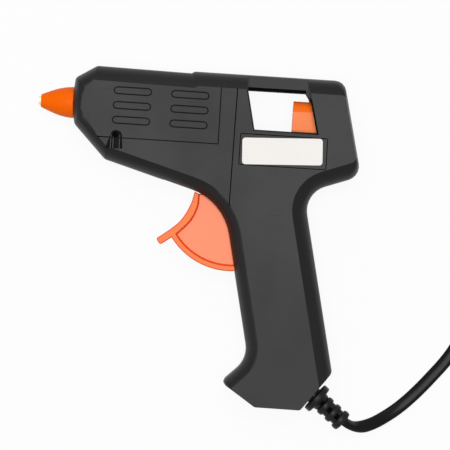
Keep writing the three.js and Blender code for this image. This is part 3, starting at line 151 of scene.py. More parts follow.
def level_faces(form, height, normal_up):
    """The flat faces of a form at a height over the split, in millimetres."""
    level = DESIGN_ORIGIN.z + height * MM
    return [face for face in form.faces
            if abs(face.calc_center_median().z - level) < LEVEL_TOLERANCE * MM
            and abs(face.normal.z) > LEVEL_NORMAL and (face.normal.z > 0) == normal_up]


def rimmed(form, face, inset, drop, slot):
    """A flat face's border lowered by drop and joined to a smaller copy of it, both in millimetres."""
    up = face.normal.copy()
    border = list(face.verts)
    inner = []
    for place, vert in enumerate(border):
        before = (vert.co - border[place - 1].co).normalized()
        after = (border[(place + 1) % len(border)].co - vert.co).normalized()
        mitre = (up.cross(before) + up.cross(after)).normalized()
        reach = inset * MM / max(mitre.dot(up.cross(after)), MITRE_LIMIT)
        inner.append(form.verts.new(vert.co + mitre * reach))
    form.faces.new(inner, face)
    for place, vert in enumerate(border):
        after = (place + 1) % len(border)
        ring = form.faces.new((vert, border[after], inner[after], inner[place]), face)
        ring.material_index = slot
    bmesh.ops.delete(form, geom=[face], context="FACES_ONLY")
    for vert in border:
        vert.co -= up * drop * MM
    form.normal_update()


def carved(form, *cutters):
    """A form less the cutters, by the Boolean modifier applied to a throwaway object."""
    def throwaway(shape):
        mesh = bpy.data.meshes.new("carving")
        shape.to_mesh(mesh)
        shape.free()
        return new_object("carving", mesh)

    block = throwaway(form)
    tools = [throwaway(cutter) for cutter in cutters]
    for tool in tools:
        cut = block.modifiers.new("cut", "BOOLEAN")
        cut.operation = "DIFFERENCE"
        cut.solver = "EXACT"
        cut.object = tool
    graph = bpy.context.evaluated_depsgraph_get()
    result = bmesh.new()
    result.from_mesh(block.evaluated_get(graph).to_mesh())
    for piece in [block, *tools]:
        mesh = piece.data
        bpy.data.objects.remove(piece)
        bpy.data.meshes.remove(mesh)
    return result


def block_form(low, high):
    """A box between two corners, in millimetres."""
    form = bmesh.new()
    bmesh.ops.create_cube(form, size=1.0)
    low, high = Vector(low), Vector(high)
    matrix = Matrix.Translation((low + high) / 2 * MM) @ Matrix.Diagonal((*((high - low) * MM), 1.0))
    return moved(form, matrix)


def turned_form(profile, steps):
    """A closed turned form about +X from (x, radius) pairs in millimetres, at the design's origin."""
    form = bmesh.new()
    points = [form.verts.new(Vector((x, r, 0)) * MM) for x, r in profile]
    edges = [form.edges.new(pair) for pair in zip(points, points[1:])]
    bmesh.ops.spin(form, geom=points + edges, cent=(0, 0, 0), axis=(1, 0, 0),
                   angle=2 * math.pi, steps=steps, use_merge=True)
    bmesh.ops.remove_doubles(form, verts=form.verts, dist=DOUBLES)
    return form


def moved(form, matrix):
    bmesh.ops.transform(form, matrix=matrix, verts=form.verts)
    return form


# The cord's section, and its route, whose points are the part's own

CORD_WIDTH = 5.4
CORD_HEIGHT = 2.8
CORD_SIDES = 32
CORD_ROUNDNESS = 0.87
ROUTE_STEP = 1.2
SHORTEST_STEP = 1e-6

# The strain relief's axis leaves the case at its foot; the cord leaves the relief at its reach
RELIEF_TURN = math.atan2(-0.601, 0.7992)
RELIEF_FOOT = (108.68, -115.83)
RELIEF_REACH = 16.8
RELIEF_SAG = math.radians(2)
CORD_IN_RELIEF = 1.5

# The lead's lean further on and at the relief, and the lengths from the relief over which it changes
LEAD_LEAN, LEAD_LEAN_END = math.radians(12), math.radians(58)
LEAN_DROPS, LEAN_ENDS = (5, 15), (55, 75)

COIL_CENTRE = (212.9, -70.0)
COIL_RADIUS = 22.0
COIL_PITCH = 6.1
COIL_LAYER = 3.4
COIL_TURN_DEGREES = 1905.0
COIL_START_DEGREES = 180
COIL_STEPS_PER_TURN = 36
COIL_LIFT = 0.8
COIL_BASE = FLOOR_HEIGHT + COIL_LIFT + CORD_HEIGHT / 2

# Degrees from the middle of the coil: it climbs to the upper layer, then widens, then spirals outward
CLIMB_END, WIDENING_END = 90, 270

LEAD_ROUTE = [
    (122.4, -126.15, 0), (123.9, -127.1, -0.3), (126.9, -128.25, -2.4), (130.5, -128.2, -4.8),
    (135.1, -126.57, -7.6), (140.2, -123.53, -9.8), (145.25, -119.73, -11.1),
    (150.1, -115.16, -11.4), (154.9, -109.93, -11.4), (158.9, -105.17, -11.4), (162.9, -100.2, -11.4),
    (166.5, -95, -11.4), (169.4, -89.6, -11.3), (171.6, -84.6, -11.1), (172.8, -79.8, -10.8),
]
END_ROUTE = [
    (231.6, -34, -7.4), (236, -35.3, -7.3), (241.5, -37.1, -7), (247.4, -39.7, -6.8),
    (252.9, -43.2, -6.5), (257.3, -47.9, -6.3), (260.2, -53.6, -6.2), (261.7, -59.4, -6.15),
    (262.7, -65, -6.15),
]


def smoothstep(value, low, high):
    share = min(max((value - low) / (high - low), 0.0), 1.0)
    return share * share * (3 - 2 * share)


def coil_points():
    steps = round(COIL_TURN_DEGREES / 360 * COIL_STEPS_PER_TURN)
    points = []
    for step in range(steps + 1):
        turned = COIL_TURN_DEGREES * step / steps
        from_middle = turned - COIL_TURN_DEGREES / 2
        away = abs(from_middle)
        turns_out = smoothstep(away, CLIMB_END, WIDENING_END) + max(away - WIDENING_END, 0) / 360
        radius = COIL_RADIUS + COIL_PITCH * turns_out
        angle = math.radians(COIL_START_DEGREES - turned)
        climb = smoothstep(from_middle, -CLIMB_END, CLIMB_END) * COIL_LAYER
        points.append(Vector((COIL_CENTRE[0] + radius * math.cos(angle),
                              COIL_CENTRE[1] + radius * math.sin(angle), COIL_BASE + climb)))
    return points


def rounded_route(points):
    """Points along a centripetal Catmull-Rom curve through the way points."""
    ends = [points[0] * 2 - points[1], *points, points[-1] * 2 - points[-2]]
    route = []
    for a, b, c, d in zip(ends, ends[1:], ends[2:], ends[3:]):
        knots = [0.0]
        for start, end in ((a, b), (b, c), (c, d)):
            knots.append(knots[-1] + max((end - start).length, SHORTEST_STEP) ** 0.5)
        t0, t1, t2, t3 = knots
        count = max(2, math.ceil((c - b).length / ROUTE_STEP))
        for step in range(count):
            t = t1 + (t2 - t1) * step / count
            ab = a * ((t1 - t) / (t1 - t0)) + b * ((t - t0) / (t1 - t0))
            bc = b * ((t2 - t) / (t2 - t1)) + c * ((t - t1) / (t2 - t1))
            cd = c * ((t3 - t) / (t3 - t2)) + d * ((t - t2) / (t3 - t2))
            abc = ab * ((t2 - t) / (t2 - t0)) + bc * ((t - t0) / (t2 - t0))
            bcd = bc * ((t3 - t) / (t3 - t1)) + cd * ((t - t1) / (t3 - t1))
            route.append(abc * ((t2 - t) / (t2 - t1)) + bcd * ((t - t1) / (t2 - t1)))
    route.append(points[-1])
    return route


def relief_axis(along):
    """A point on the relief's axis outside the case, where the cord's pull turns it a little."""
    turn = RELIEF_TURN - RELIEF_SAG
    return Vector((RELIEF_FOOT[0] + along * math.cos(turn), RELIEF_FOOT[1] + along * math.sin(turn), 0))


def cord_route():
    lead = [relief_axis(RELIEF_REACH - CORD_IN_RELIEF), *(Vector(p) for p in LEAD_ROUTE)]
    end = [Vector(p) for p in END_ROUTE]
    return rounded_route(lead + coil_points() + end)


def lead_lean(distance):
    """How far the flat cord leans, by its length from the relief: on edge, then slightly, then level."""
    lying = smoothstep(distance, *LEAN_DROPS)
    return LEAD_LEAN_END * (1 - lying) + LEAD_LEAN * lying * (1 - smoothstep(distance, *LEAN_ENDS))


def cord_section():
    """The oval section of a flat cord, its two cores under one rounded jacket."""
    section = []
    for index in range(CORD_SIDES):
        angle = 2 * math.pi * index / CORD_SIDES
        across, high = math.cos(angle), math.sin(angle)
        section.append((CORD_WIDTH / 2 * math.copysign(abs(across) ** CORD_ROUNDNESS, across),
                        CORD_HEIGHT / 2 * math.copysign(abs(high) ** CORD_ROUNDNESS, high)))
    return section


def swept(route, section):
    """A section swept along a route, leaning as the lead does, with rings bridged by operators."""
    form = bmesh.new()
    loops = []
    distance = 0.0
    for index, point in enumerate(route):
        before = route[max(index - 1, 0)]
        after = route[min(index + 1, len(route) - 1)]
        tangent = (after - before).normalized()
        side = Vector((tangent.y, -tangent.x, 0)).normalized()
        rise = side.cross(tangent)
        distance += (point - before).length
        lean = lead_lean(distance)
        side, rise = (side * math.cos(lean) + rise * math.sin(lean),
                      rise * math.cos(lean) - side * math.sin(lean))
        ring = [form.verts.new((point + side * across + rise * high) * MM) for across, high in section]
        loops.append([form.edges.new((ring[i], ring[(i + 1) % len(ring)])) for i in range(len(ring))])
    for first, second in zip(loops, loops[1:]):
        bmesh.ops.bridge_loops(form, edges=first + second)
    for loop in (loops[0], loops[-1]):
        bmesh.ops.contextual_create(form, geom=loop)
    return form


# Shader helpers

SKIN_OUTPUTS = [
    ("Colour", "NodeSocketColor"), ("Roughness", "NodeSocketFloat"), ("Normal", "NodeSocketVector"),
]


def connect(tree, node, links):
    """Links outputs to a node's inputs, each under its input's label."""
    for label, source in links.items():
        tree.links.new(source, node.inputs[label])


def add(tree, kind, values=None, links=None, **settings):
    """A new node with its settings, the values of its free inputs and what its other inputs follow."""
    node = tree.nodes.new(kind)
    for key, value in settings.items():
        setattr(node, key, value)
    for label, value in (values or {}).items():
        node.inputs[label].default_value = value
    connect(tree, node, links or {})
    return node


def node_group(name, inputs, outputs):
    """An empty shader group with its sockets, and its input and output nodes."""
    group = bpy.data.node_groups.new(name, "ShaderNodeTree")
    for label, kind, value in inputs:
        socket = group.interface.new_socket(label, in_out="INPUT", socket_type=kind)
        socket.default_value = value
    for label, kind in outputs:
        group.interface.new_socket(label, in_out="OUTPUT", socket_type=kind)
    return group, group.nodes.new("NodeGroupInput").outputs, group.nodes.new("NodeGroupOutput")


def empty_tree(owner):
    """The node tree of a material or a world, with nothing in it."""
    owner.use_nodes = True
    owner.node_tree.nodes.clear()
    return owner.node_tree


# Shared effects

SMUDGE_SHARE, SCRATCH_SHARE = 0.55, 0.45
WEAR_ROUGHENS, TARNISH_ROUGHENS = 0.5, 0.35


def handling_marks(group, place, strength):
    """Slow smudges and fine drawn-out scratches, as a mask."""
    slow = add(group, "ShaderNodeTexNoise", {"Scale": 28, "Detail": 4}, {"Vector": place})
    smudge = add(group, "ShaderNodeMapRange", {"From Min": 0.4, "From Max": 0.75},
                 {"Value": slow.outputs["Fac"]})
    stretch = add(group, "ShaderNodeMapping", {"Rotation": (0.3, 0.2, 0.6), "Scale": (1, 14, 6)},
                  {"Vector": place})
    scratch = add(group, "ShaderNodeTexNoise", {"Scale": 90, "Detail": 2},
                  {"Vector": stretch.outputs["Vector"]})
    fine = add(group, "ShaderNodeMapRange", {"From Min": 0.66, "From Max": 0.74},
               {"Value": scratch.outputs["Fac"]})
    scratches = add(group, "ShaderNodeMath", {1: SCRATCH_SHARE}, {0: fine.outputs["Result"]},
                    operation="MULTIPLY")
    both = add(group, "ShaderNodeMath", {1: SMUDGE_SHARE},
               {0: smudge.outputs["Result"], 2: scratches.outputs["Value"]}, operation="MULTIPLY_ADD")
    marks = add(group, "ShaderNodeMath", links={0: both.outputs["Value"], 1: strength}, operation="MULTIPLY")
    return marks.outputs["Value"]


def moulded_skin_group():
    """Moulded plastic: a fine spark-eroded grain, slow tone changes and faint handling marks."""
    group, given, out = node_group("moulded_skin", [
        ("Colour", "NodeSocketColor", (0.1, 0.1, 0.1, 1)),
        ("Worn Colour", "NodeSocketColor", (0.2, 0.2, 0.2, 1)),
        ("Grain Scale", "NodeSocketFloat", 5000.0),
        ("Grain Depth", "NodeSocketFloat", 0.00002),
        ("Roughness", "NodeSocketFloat", 0.5),
        ("Marks", "NodeSocketFloat", 0.1),
    ], SKIN_OUTPUTS)
    place = add(group, "ShaderNodeTexCoord").outputs["Object"]
    grain = add(group, "ShaderNodeTexNoise", {"Detail": 3, "Roughness": 0.6},
                {"Vector": place, "Scale": given["Grain Scale"]}).outputs["Fac"]
    bump = add(group, "ShaderNodeBump", {"Strength": 1.0},
               {"Height": grain, "Distance": given["Grain Depth"]})
    wear = handling_marks(group, place, given["Marks"])
    speckle = add(group, "ShaderNodeMapRange",
                  {"From Min": 0.35, "From Max": 0.65, "To Min": 0.9, "To Max": 1.1},
                  {"Value": grain}).outputs["Result"]
    grey = add(group, "ShaderNodeCombineColor", links={"Red": speckle, "Green": speckle, "Blue": speckle})
    toned = add(group, "ShaderNodeMix", data_type="RGBA", blend_type="MULTIPLY", values={"Factor": 1.0},
                links={"A": given["Colour"], "B": grey.outputs["Color"]})
    worn = add(group, "ShaderNodeMix", data_type="RGBA",
               links={"Factor": wear, "A": toned.outputs["Result"], "B": given["Worn Colour"]})
    rough = add(group, "ShaderNodeMath", {1: WEAR_ROUGHENS}, {0: wear, 2: given["Roughness"]},
                operation="MULTIPLY_ADD", use_clamp=True)
    connect(group, out, {"Colour": worn.outputs["Result"], "Roughness": rough.outputs["Value"],
                         "Normal": bump.outputs["Normal"]})
    return group


def worked_metal_group():
    """Metal: fine tool lines along one direction and slow tarnish."""
    group, given, out = node_group("worked_metal", [
        ("Colour", "NodeSocketColor", (0.6, 0.6, 0.6, 1)),
        ("Tarnish", "NodeSocketColor", (0.3, 0.28, 0.25, 1)),
        ("Line Scale", "NodeSocketVector", (200.0, 4000.0, 4000.0)),
        ("Line Depth", "NodeSocketFloat", 0.00001),
        ("Roughness", "NodeSocketFloat", 0.35),
        ("Tarnish Amount", "NodeSocketFloat", 0.3),
    ], SKIN_OUTPUTS)
    place = add(group, "ShaderNodeTexCoord").outputs["Object"]
    stretch = add(group, "ShaderNodeVectorMath", links={0: place, 1: given["Line Scale"]},
                  operation="MULTIPLY")
    lines = add(group, "ShaderNodeTexNoise", {"Scale": 1, "Detail": 3},
                {"Vector": stretch.outputs["Vector"]})
    bump = add(group, "ShaderNodeBump", {"Strength": 1.0},
               {"Height": lines.outputs["Fac"], "Distance": given["Line Depth"]})
    slow = add(group, "ShaderNodeTexNoise", {"Scale": 220, "Detail": 5}, {"Vector": place})
    ramp = add(group, "ShaderNodeMapRange", {"From Min": 0.42, "From Max": 0.7},
               {"Value": slow.outputs["Fac"]})
    share = add(group, "ShaderNodeMath", links={0: ramp.outputs["Result"], 1: given["Tarnish Amount"]},
                operation="MULTIPLY", use_clamp=True).outputs["Value"]
    colour = add(group, "ShaderNodeMix", data_type="RGBA",
                 links={"Factor": share, "A": given["Colour"], "B": given["Tarnish"]})
    rough = add(group, "ShaderNodeMath", {1: TARNISH_ROUGHENS}, {0: share, 2: given["Roughness"]},
                operation="MULTIPLY_ADD", use_clamp=True)
    connect(group, out, {"Colour": colour.outputs["Result"], "Roughness": rough.outputs["Value"],
                         "Normal": bump.outputs["Normal"]})
    return group


MOULDED_SKIN = moulded_skin_group()
WORKED_METAL = worked_metal_group()


# Finishes: colours are sRGB from 0 to 255, a grain's or a line's depth is in metres

def linear(red, green, blue):
    """An sRGB colour, 0 to 255, as a linear colour with alpha."""
    def one(value):
        value /= 255
        return value / 12.92 if value <= 0.04045 else ((value + 0.055) / 1.055) ** 2.4
    return (one(red), one(green), one(blue), 1.0)


def finish_from(name, group, values, surface):
    """A material whose Principled shader takes colour, roughness and normal from a shared group."""
    material = bpy.data.materials.new(name)
    tree = empty_tree(material)
    effect = add(tree, "ShaderNodeGroup", values, node_tree=group)
    shader = add(tree, "ShaderNodeBsdfPrincipled", surface,
                 {"Base Color": effect.outputs["Colour"], "Roughness": effect.outputs["Roughness"],
                  "Normal": effect.outputs["Normal"]})
    add(tree, "ShaderNodeOutputMaterial", links={"Surface": shader.outputs["BSDF"]})
    return material


def plastic(name, colour, worn, roughness, grain, depth, marks, specular=0.5):
    return finish_from(name, MOULDED_SKIN, {
        "Colour": linear(*colour), "Worn Colour": linear(*worn), "Grain Scale": grain, "Grain Depth": depth,
        "Roughness": roughness, "Marks": marks,
    }, {"Specular IOR Level": specular})


def metal(name, colour, tarnish, roughness, lines, depth, amount):
    return finish_from(name, WORKED_METAL, {
        "Colour": linear(*colour), "Tarnish": linear(*tarnish), "Line Scale": lines, "Line Depth": depth,
        "Roughness": roughness, "Tarnish Amount": amount,
    }, {"Metallic": 1.0})


CASE = plastic("case_black_grain", (22, 22, 23), (48, 48, 50),
               roughness=0.36, grain=3600, depth=0.00003, marks=0.32, specular=0.16)
# Painted shade for the case's recesses and walls, and a paler painted shade for its slot grooves and socket
# shelf
CASE_PAINTED_SHADE = plastic("case_painted_shade", (8, 8, 8), (16, 16, 16),
                      roughness=0.8, grain=3600, depth=0.00003, marks=0.1, specular=0.05)
CASE_SLOT_SHADE = plastic("case_slot_painted_shade", (15, 15, 16), (24, 24, 25),
                    roughness=0.6, grain=3600, depth=0.00003, marks=0.1, specular=0.08)
# Lit and shaded copies of one orange: web paler as painted light, rim and blade deeper as painted shade
ORANGE_WEB_LIT = plastic("orange_web_painted_light", (251, 121, 62), (255, 138, 86),
                 roughness=0.42, grain=7000, depth=0.000003, marks=0.06)
ORANGE_RIM_SHADED = plastic("orange_rim_painted_shade", (254, 116, 34), (255, 138, 66),
                     roughness=0.42, grain=7000, depth=0.000003, marks=0.12, specular=0.3)
# Lit and shaded copies of one orange: flank paler as painted light, upturned curve deeper as painted shade
CARRIAGE_LIT = plastic("carriage_flank_painted_light", (255, 135, 72), (255, 146, 92),
                   roughness=0.5, grain=7000, depth=0.000003, marks=0.1, specular=0.25)
CARRIAGE_SHADED = plastic("carriage_curve_painted_shade", (255, 112, 24), (254, 122, 40),
                        roughness=0.6, grain=7000, depth=0.000003, marks=0.1, specular=0.1)
# Painted shade in the trigger's creases
ORANGE_CREASE_SHADE = plastic("orange_crease_painted_shade", (228, 84, 24), (240, 104, 50),
                        roughness=0.5, grain=1400, depth=0.000008, marks=0.12)
SILICONE = plastic("orange_silicone", (253, 105, 2), (255, 122, 16),
                   roughness=0.36, grain=6000, depth=0.000002, marks=0.03, specular=0.06)
LABEL = plastic("label_film", (238, 235, 230), (233, 230, 224),
                roughness=0.55, grain=9000, depth=0.000002, marks=0.1)
CORD = plastic("cord_jacket", (15, 15, 16), (28, 28, 30),
               roughness=0.24, grain=900, depth=0.000002, marks=0.1, specular=0.1)
RUBBER = plastic("relief_rubber", (20, 20, 21), (44, 44, 46),
                 roughness=0.36, grain=2400, depth=0.00002, marks=0.15, specular=0.16)
PLUG = plastic("plug_moulding", (26, 26, 27), (60, 60, 62),
               roughness=0.38, grain=3000, depth=0.00002, marks=0.2, specular=0.2)
PALE_PLASTIC = plastic("clamp_moulding", (186, 186, 180), (205, 205, 200),
                       roughness=0.5, grain=3000, depth=0.00002, marks=0.2)
GUIDE = plastic("guide_silicone", (196, 192, 184), (214, 210, 204),
                roughness=0.55, grain=900, depth=0.00001, marks=0.2)
CERAMIC = plastic("heater_ceramic", (224, 216, 202), (190, 180, 164),
                  roughness=0.7, grain=6000, depth=0.00003, marks=0.3)
FILM = plastic("insulation_film", (196, 120, 30), (214, 150, 70),
               roughness=0.22, grain=700, depth=0.000006, marks=0.2)
LIVE = plastic("lead_brown", (110, 62, 38), (140, 92, 66),
               roughness=0.5, grain=1500, depth=0.00001, marks=0.2)
NEUTRAL = plastic("lead_blue", (40, 90, 170), (80, 124, 190),
                  roughness=0.5, grain=1500, depth=0.00001, marks=0.2)
BRASS = metal("nozzle_brass", (244, 226, 184), (206, 178, 126),
              roughness=0.34, lines=(4000, 900, 900), depth=0.000004, amount=0.35)
CAST = metal("chamber_cast", (168, 170, 174), (120, 118, 114),
             roughness=0.5, lines=(2600, 2600, 2600), depth=0.00003, amount=0.5)
SHEET = metal("contact_sheet", (190, 190, 186), (140, 134, 120),
              roughness=0.32, lines=(300, 4000, 4000), depth=0.000005, amount=0.3)
STEEL = metal("drawn_steel", (158, 158, 160), (104, 100, 96),
              roughness=0.34, lines=(400, 4000, 4000), depth=0.000006, amount=0.35)
ZINC = metal("zinc_screw", (172, 173, 178), (128, 124, 112),
             roughness=0.36, lines=(2600, 2600, 2600), depth=0.00001, amount=0.4)
NICKEL = metal("plug_nickel", (206, 203, 196), (150, 144, 132),
               roughness=0.2, lines=(300, 3000, 3000), depth=0.000004, amount=0.3)


# Slots after the first of a case piece: painted shade in recesses and walls, paler painted shade in the slot
# pattern
SHADE_SLOT, PALE_SHADE_SLOT = 1, 2


# Cord and what is on it

def make_cord():
    route = cord_route()
    path = [at(p.x, p.y, p.z) for p in route]
    form = moved(swept(route, cord_section()), Matrix.Translation(DESIGN_ORIGIN))
    cord = piece_from("mains_cord", form, CORD, smooth=60, weighted=False,
                      replaces=("cord_lead", "cord_coil", "cord_end"))
    length = sum((b - a).length for a, b in zip(path, path[1:]))
    return cord, path, length


# The strain relief by (length from its foot, radius), and its ribs by (width, radius)
RELIEF_GROMMET = [
    (-4.6, 0), (-4.6, 5.1), (-4.3, 5.4), (-2.9, 5.4), (-2.8, 5.3), (-2.8, 3.6), (1.0, 3.6), (1.0, 5.9),
    (1.15, 6.25), (1.5, 6.4), (3.3, 6.4), (3.7, 6.2), (3.9, 5.7), (3.95, 4.4), (4.25, 4.0), (5.4, 3.7),
]
RELIEF_END = [(17.5, 3.1), (17.5, 0)]
RIB_START, RIB_PITCH, RIB_FOOT, RIB_STEPS = 7.2, 4.3, 3.4, 8
RIB_SIZES = [(2.7, 4.25), (2.7, 4.25), (3.0, 4.5)]
NECK_PLACE, NECK_RADIUS = 2.15, 3.35
RELIEF_STEPS = 56

# Notches on both faces of the relief, and the room in which their own faces lie, which get painted shade
NOTCHES = [(4.5, 6.1), (8.6, 10.2), (12.9, 14.4)]
NOTCH_HALF_WIDTH, NOTCH_HEIGHT, NOTCH_BOTTOMS = 1.2, 4, (0.9, -4.9)
NOTCH_ROOM, NOTCH_ROOM_SIDE, NOTCH_ROOM_HEIGHT = (4.4, 14.5), 1.25, 2.9
RELIEF_BEND = 0.9


def relief_profile():
    """The grommet, then ribs with rounded backs and the necks between them."""
    profile = list(RELIEF_GROMMET)
    for index, (width, radius) in enumerate(RIB_SIZES):
        centre = RIB_START + index * RIB_PITCH
        for step in range(RIB_STEPS + 1):
            angle = math.pi * step / RIB_STEPS
            profile.append((centre - width / 2 * math.cos(angle),
                            RIB_FOOT + (radius - RIB_FOOT) * math.sin(angle) ** 0.5))
        if index < len(RIB_SIZES) - 1:
            profile.append((centre + NECK_PLACE, NECK_RADIUS))
    return profile + RELIEF_END


def strain_relief():
    notches = [block_form((start, -NOTCH_HALF_WIDTH, low), (end, NOTCH_HALF_WIDTH, low + NOTCH_HEIGHT))
               for start, end in NOTCHES for low in NOTCH_BOTTOMS]
    form = carved(turned_form(relief_profile(), RELIEF_STEPS), *notches)
    # The notches' own faces get painted shade
    for face in form.faces:
        x, y, z = face.calc_center_median() / MM
        if NOTCH_ROOM[0] < x < NOTCH_ROOM[1] and abs(y) < NOTCH_ROOM_SIDE and abs(z) < NOTCH_ROOM_HEIGHT:
            face.material_index = SHADE_SLOT
    outside = [vertex for vertex in form.verts if vertex.co.x > RELIEF_BEND * MM]
    bmesh.ops.rotate(form, verts=outside, cent=(0, 0, 0), matrix=Matrix.Rotation(-RELIEF_SAG, 3, "Z"))
    moved(form, Matrix.Translation(at(*RELIEF_FOOT)) @ Matrix.Rotation(RELIEF_TURN, 4, "Z"))
    return dressed("strain_relief", (RUBBER, CASE_PAINTED_SHADE), form=form, smooth=50, weighted=False)


cord_piece, cord_path, cord_length = make_cord()
relief_piece = strain_relief()
plug_piece = dressed("plug_body", PLUG, smooth=30)
tie_piece = dressed("cord_tie", PLUG, smooth=30)
for node in ("plug_pin_left", "plug_pin_right"):
    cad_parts[node].data.materials[0] = NICKEL


# Case shells: heights are over the split, and corners are the lowest and highest of an area

CASE_FACE = 12.9
WALL_NORMAL, SHELF_NORMAL = 0.3, 0.5
WINDOW_LOW, WINDOW_HIGH = (72.5, -7.5), (104, 10.8)
SOCKET_LOW, SOCKET_HIGH = (15, -18.6), (22.8, -10.4)
SOCKET_DEPTHS, SOCKET_SHELF = (8, 12.5), 9.9

# Grooves on the nose's side of this corner are the slot pattern's, the others are panel lines
GROOVE_FLOOR = 12.3
SLOTS_END = (58, -11.5)

# The label's recess is the one floor at its height with more than this area, in square millimetres
LABEL_FLOOR, LABEL_AREA = 12.5, 100
LABEL_INSET, LABEL_DROP = 0.35, 0.3

# Edges sharper than this, in degrees, stay sharp: all over, and where the band runs into the flat
CASE_CREASE, SOFT_CREASE = 24.0, 34.0
NOSE_LENGTH = 9
HANDLE_FRONT, HANDLE_TOP = 92, -34

# Corners of the flat's border at the nose, and where they lie on the rounder border
NOSE_BORDER = [
    ((4.78, 6.95), (6.2, 6.8)), ((4.56, 6.61), (5.7, 5.8)), ((4.19, 2.54), (4.55, 2.8)),
    ((5.23, -6.45), (5.6, -4.8)), ((5.31, -6.7), (6.15, -5.6)), ((5.47, -6.92), (6.8, -6.6)),
]
CORNER_REACH = 0.05


def crease_limit(place):
    """At the nose and along the front of the handle the band runs softly into the flat."""
    x, y, _ = in_design(place)
    return SOFT_CREASE if x < NOSE_LENGTH or x < HANDLE_FRONT and y < HANDLE_TOP else CASE_CREASE


def round_nose_border(form):
    for vertex in form.verts:
        x, y, z = in_design(vertex.co)
        for corner, target in NOSE_BORDER:
            if abs(z) > CASE_FACE and math.dist((x, y), corner) < CORNER_REACH:
                vertex.co = at(*target, z)


def between(x, y, low, high):
    return low[0] < x < high[0] and low[1] < y < high[1]


def shell(node):
    """A half of the case, with painted shade in its grooves, window walls and socket, and round the label.
    """
    upward = node == "left_shell"
    side = 1 if upward else -1
    form = merged_copy(node)
    round_nose_border(form)
    # Groove floors get painted shade, paler in the slot pattern
    for face in level_faces(form, side * GROOVE_FLOOR, upward):
        x, y, _ = in_design(face.calc_center_median())
        face.material_index = PALE_SHADE_SLOT if x < SLOTS_END[0] and y > SLOTS_END[1] else SHADE_SLOT
    # Painted shade on the window's walls and its faces turned down or left, and in the stand socket, paler
    # on its shelf
    for face in form.faces:
        x, y, z = in_design(face.calc_center_median())
        wall = abs(face.normal.z) < WALL_NORMAL or min(face.normal.x, face.normal.y) < -WALL_NORMAL
        if between(x, y, WINDOW_LOW, WINDOW_HIGH) and wall:
            face.material_index = SHADE_SLOT
        if upward and between(x, y, SOCKET_LOW, SOCKET_HIGH) and SOCKET_DEPTHS[0] < z < SOCKET_DEPTHS[1]:
            face.material_index = PALE_SHADE_SLOT if abs(face.normal.z) > SHELF_NORMAL and z > SOCKET_SHELF else SHADE_SLOT
    # The label recess's border is lowered into a ring of painted shade
    for face in level_faces(form, side * LABEL_FLOOR, upward):
        if face.calc_area() > LABEL_AREA * MM * MM:
            rimmed(form, face, LABEL_INSET, LABEL_DROP, SHADE_SLOT)
    return dressed(node, (CASE, CASE_PAINTED_SHADE, CASE_SLOT_SHADE), form=form, smooth_at=crease_limit)


# Trigger, feed carriage and nozzle sleeve

TRIGGER_WEB, TRIGGER_TOP = 3.8, 5.5
WEB_BELOW, WEB_NORMAL = 4.5, 0.9
WEB_CORNER, WEB_SLIVER = (47.158, -52.319), 1.1
SHORTEST_EDGE = 0.2
CREASE_INSET, CREASE_DROP = 0.4, 0.3
# Carriage faces turned up more than this take the painted shade
SHADED_FACE_NORMAL = 0.1

# Slots of the trigger's materials and of the carriage's
WEB, RIM, CREASE = range(3)
LIT_FLANK, SHADED_CURVE = range(2)

# The sleeve by (length from the case's front, radius): its tucked-in end, and its collar and bore
SLEEVE_END = [(-12.6, 1.95), (-12.95, 2.1), (-13.1, 2.35), (-13.1, 2.55), (-12.9, 2.75)]
SLEEVE_SEAT = [
    (4.2, 6.5), (4.3, 7.8), (5.9, 7.8), (5.9, 6.6), (9.0, 6.6), (9.2, 6.4), (9.2, 4.6), (-1.6, 4.6),
]
SLEEVE_CONE_SHARE, SLEEVE_BULGE_SHARE = 0.1, 0.9
SLEEVE_CURVE_STEPS, SLEEVE_STEPS = 18, 72


def close_web_tip(form):
    """Draws the sliver between the rim and the blade back to the corner where it opens."""
    for height in (-TRIGGER_TOP, -TRIGGER_WEB, TRIGGER_WEB, TRIGGER_TOP):
        corner = at(*WEB_CORNER, height)
        pair = [vertex for vertex in form.verts if (vertex.co - corner).length < WEB_SLIVER * MM]
        bmesh.ops.pointmerge(form, verts=pair, merge_co=corner)


def trigger_skin():
    """Web painted paler as painted light, rim and blade deeper as painted shade, each flat with a creased
    border.
    """
    form = merged_copy("trigger")
    close_web_tip(form)
    bmesh.ops.dissolve_degenerate(form, dist=SHORTEST_EDGE * MM, edges=form.edges)
    form.normal_update()
    # Flat faces of the web take the painted light, all else the painted shade
    for face in form.faces:
        height = abs(in_design(face.calc_center_median()).z)
        face.material_index = WEB if abs(face.normal.z) > WEB_NORMAL and height < WEB_BELOW else RIM
    # Each flat's border becomes a ring of painted shade in its crease
    for side in (-1, 1):
        for height in (TRIGGER_WEB, TRIGGER_TOP):
            for face in level_faces(form, side * height, side > 0):
                rimmed(form, face, CREASE_INSET, CREASE_DROP, CREASE)
    return dressed("trigger", (ORANGE_WEB_LIT, ORANGE_RIM_SHADED, ORANGE_CREASE_SHADE), "trigger", form=form, smooth=33)


def feed_carriage_skin():
    """Flank painted paler as painted light; the part curving round the stick painted deeper orange as
    painted shade.
    """
    form = merged_copy("feed_carriage")
    form.normal_update()
    for face in form.faces:
        face.material_index = SHADED_CURVE if face.normal.y > SHADED_FACE_NORMAL else LIT_FLANK
    return dressed("feed_carriage", (CARRIAGE_LIT, CARRIAGE_SHADED), "carriage", form=form, smooth=33)


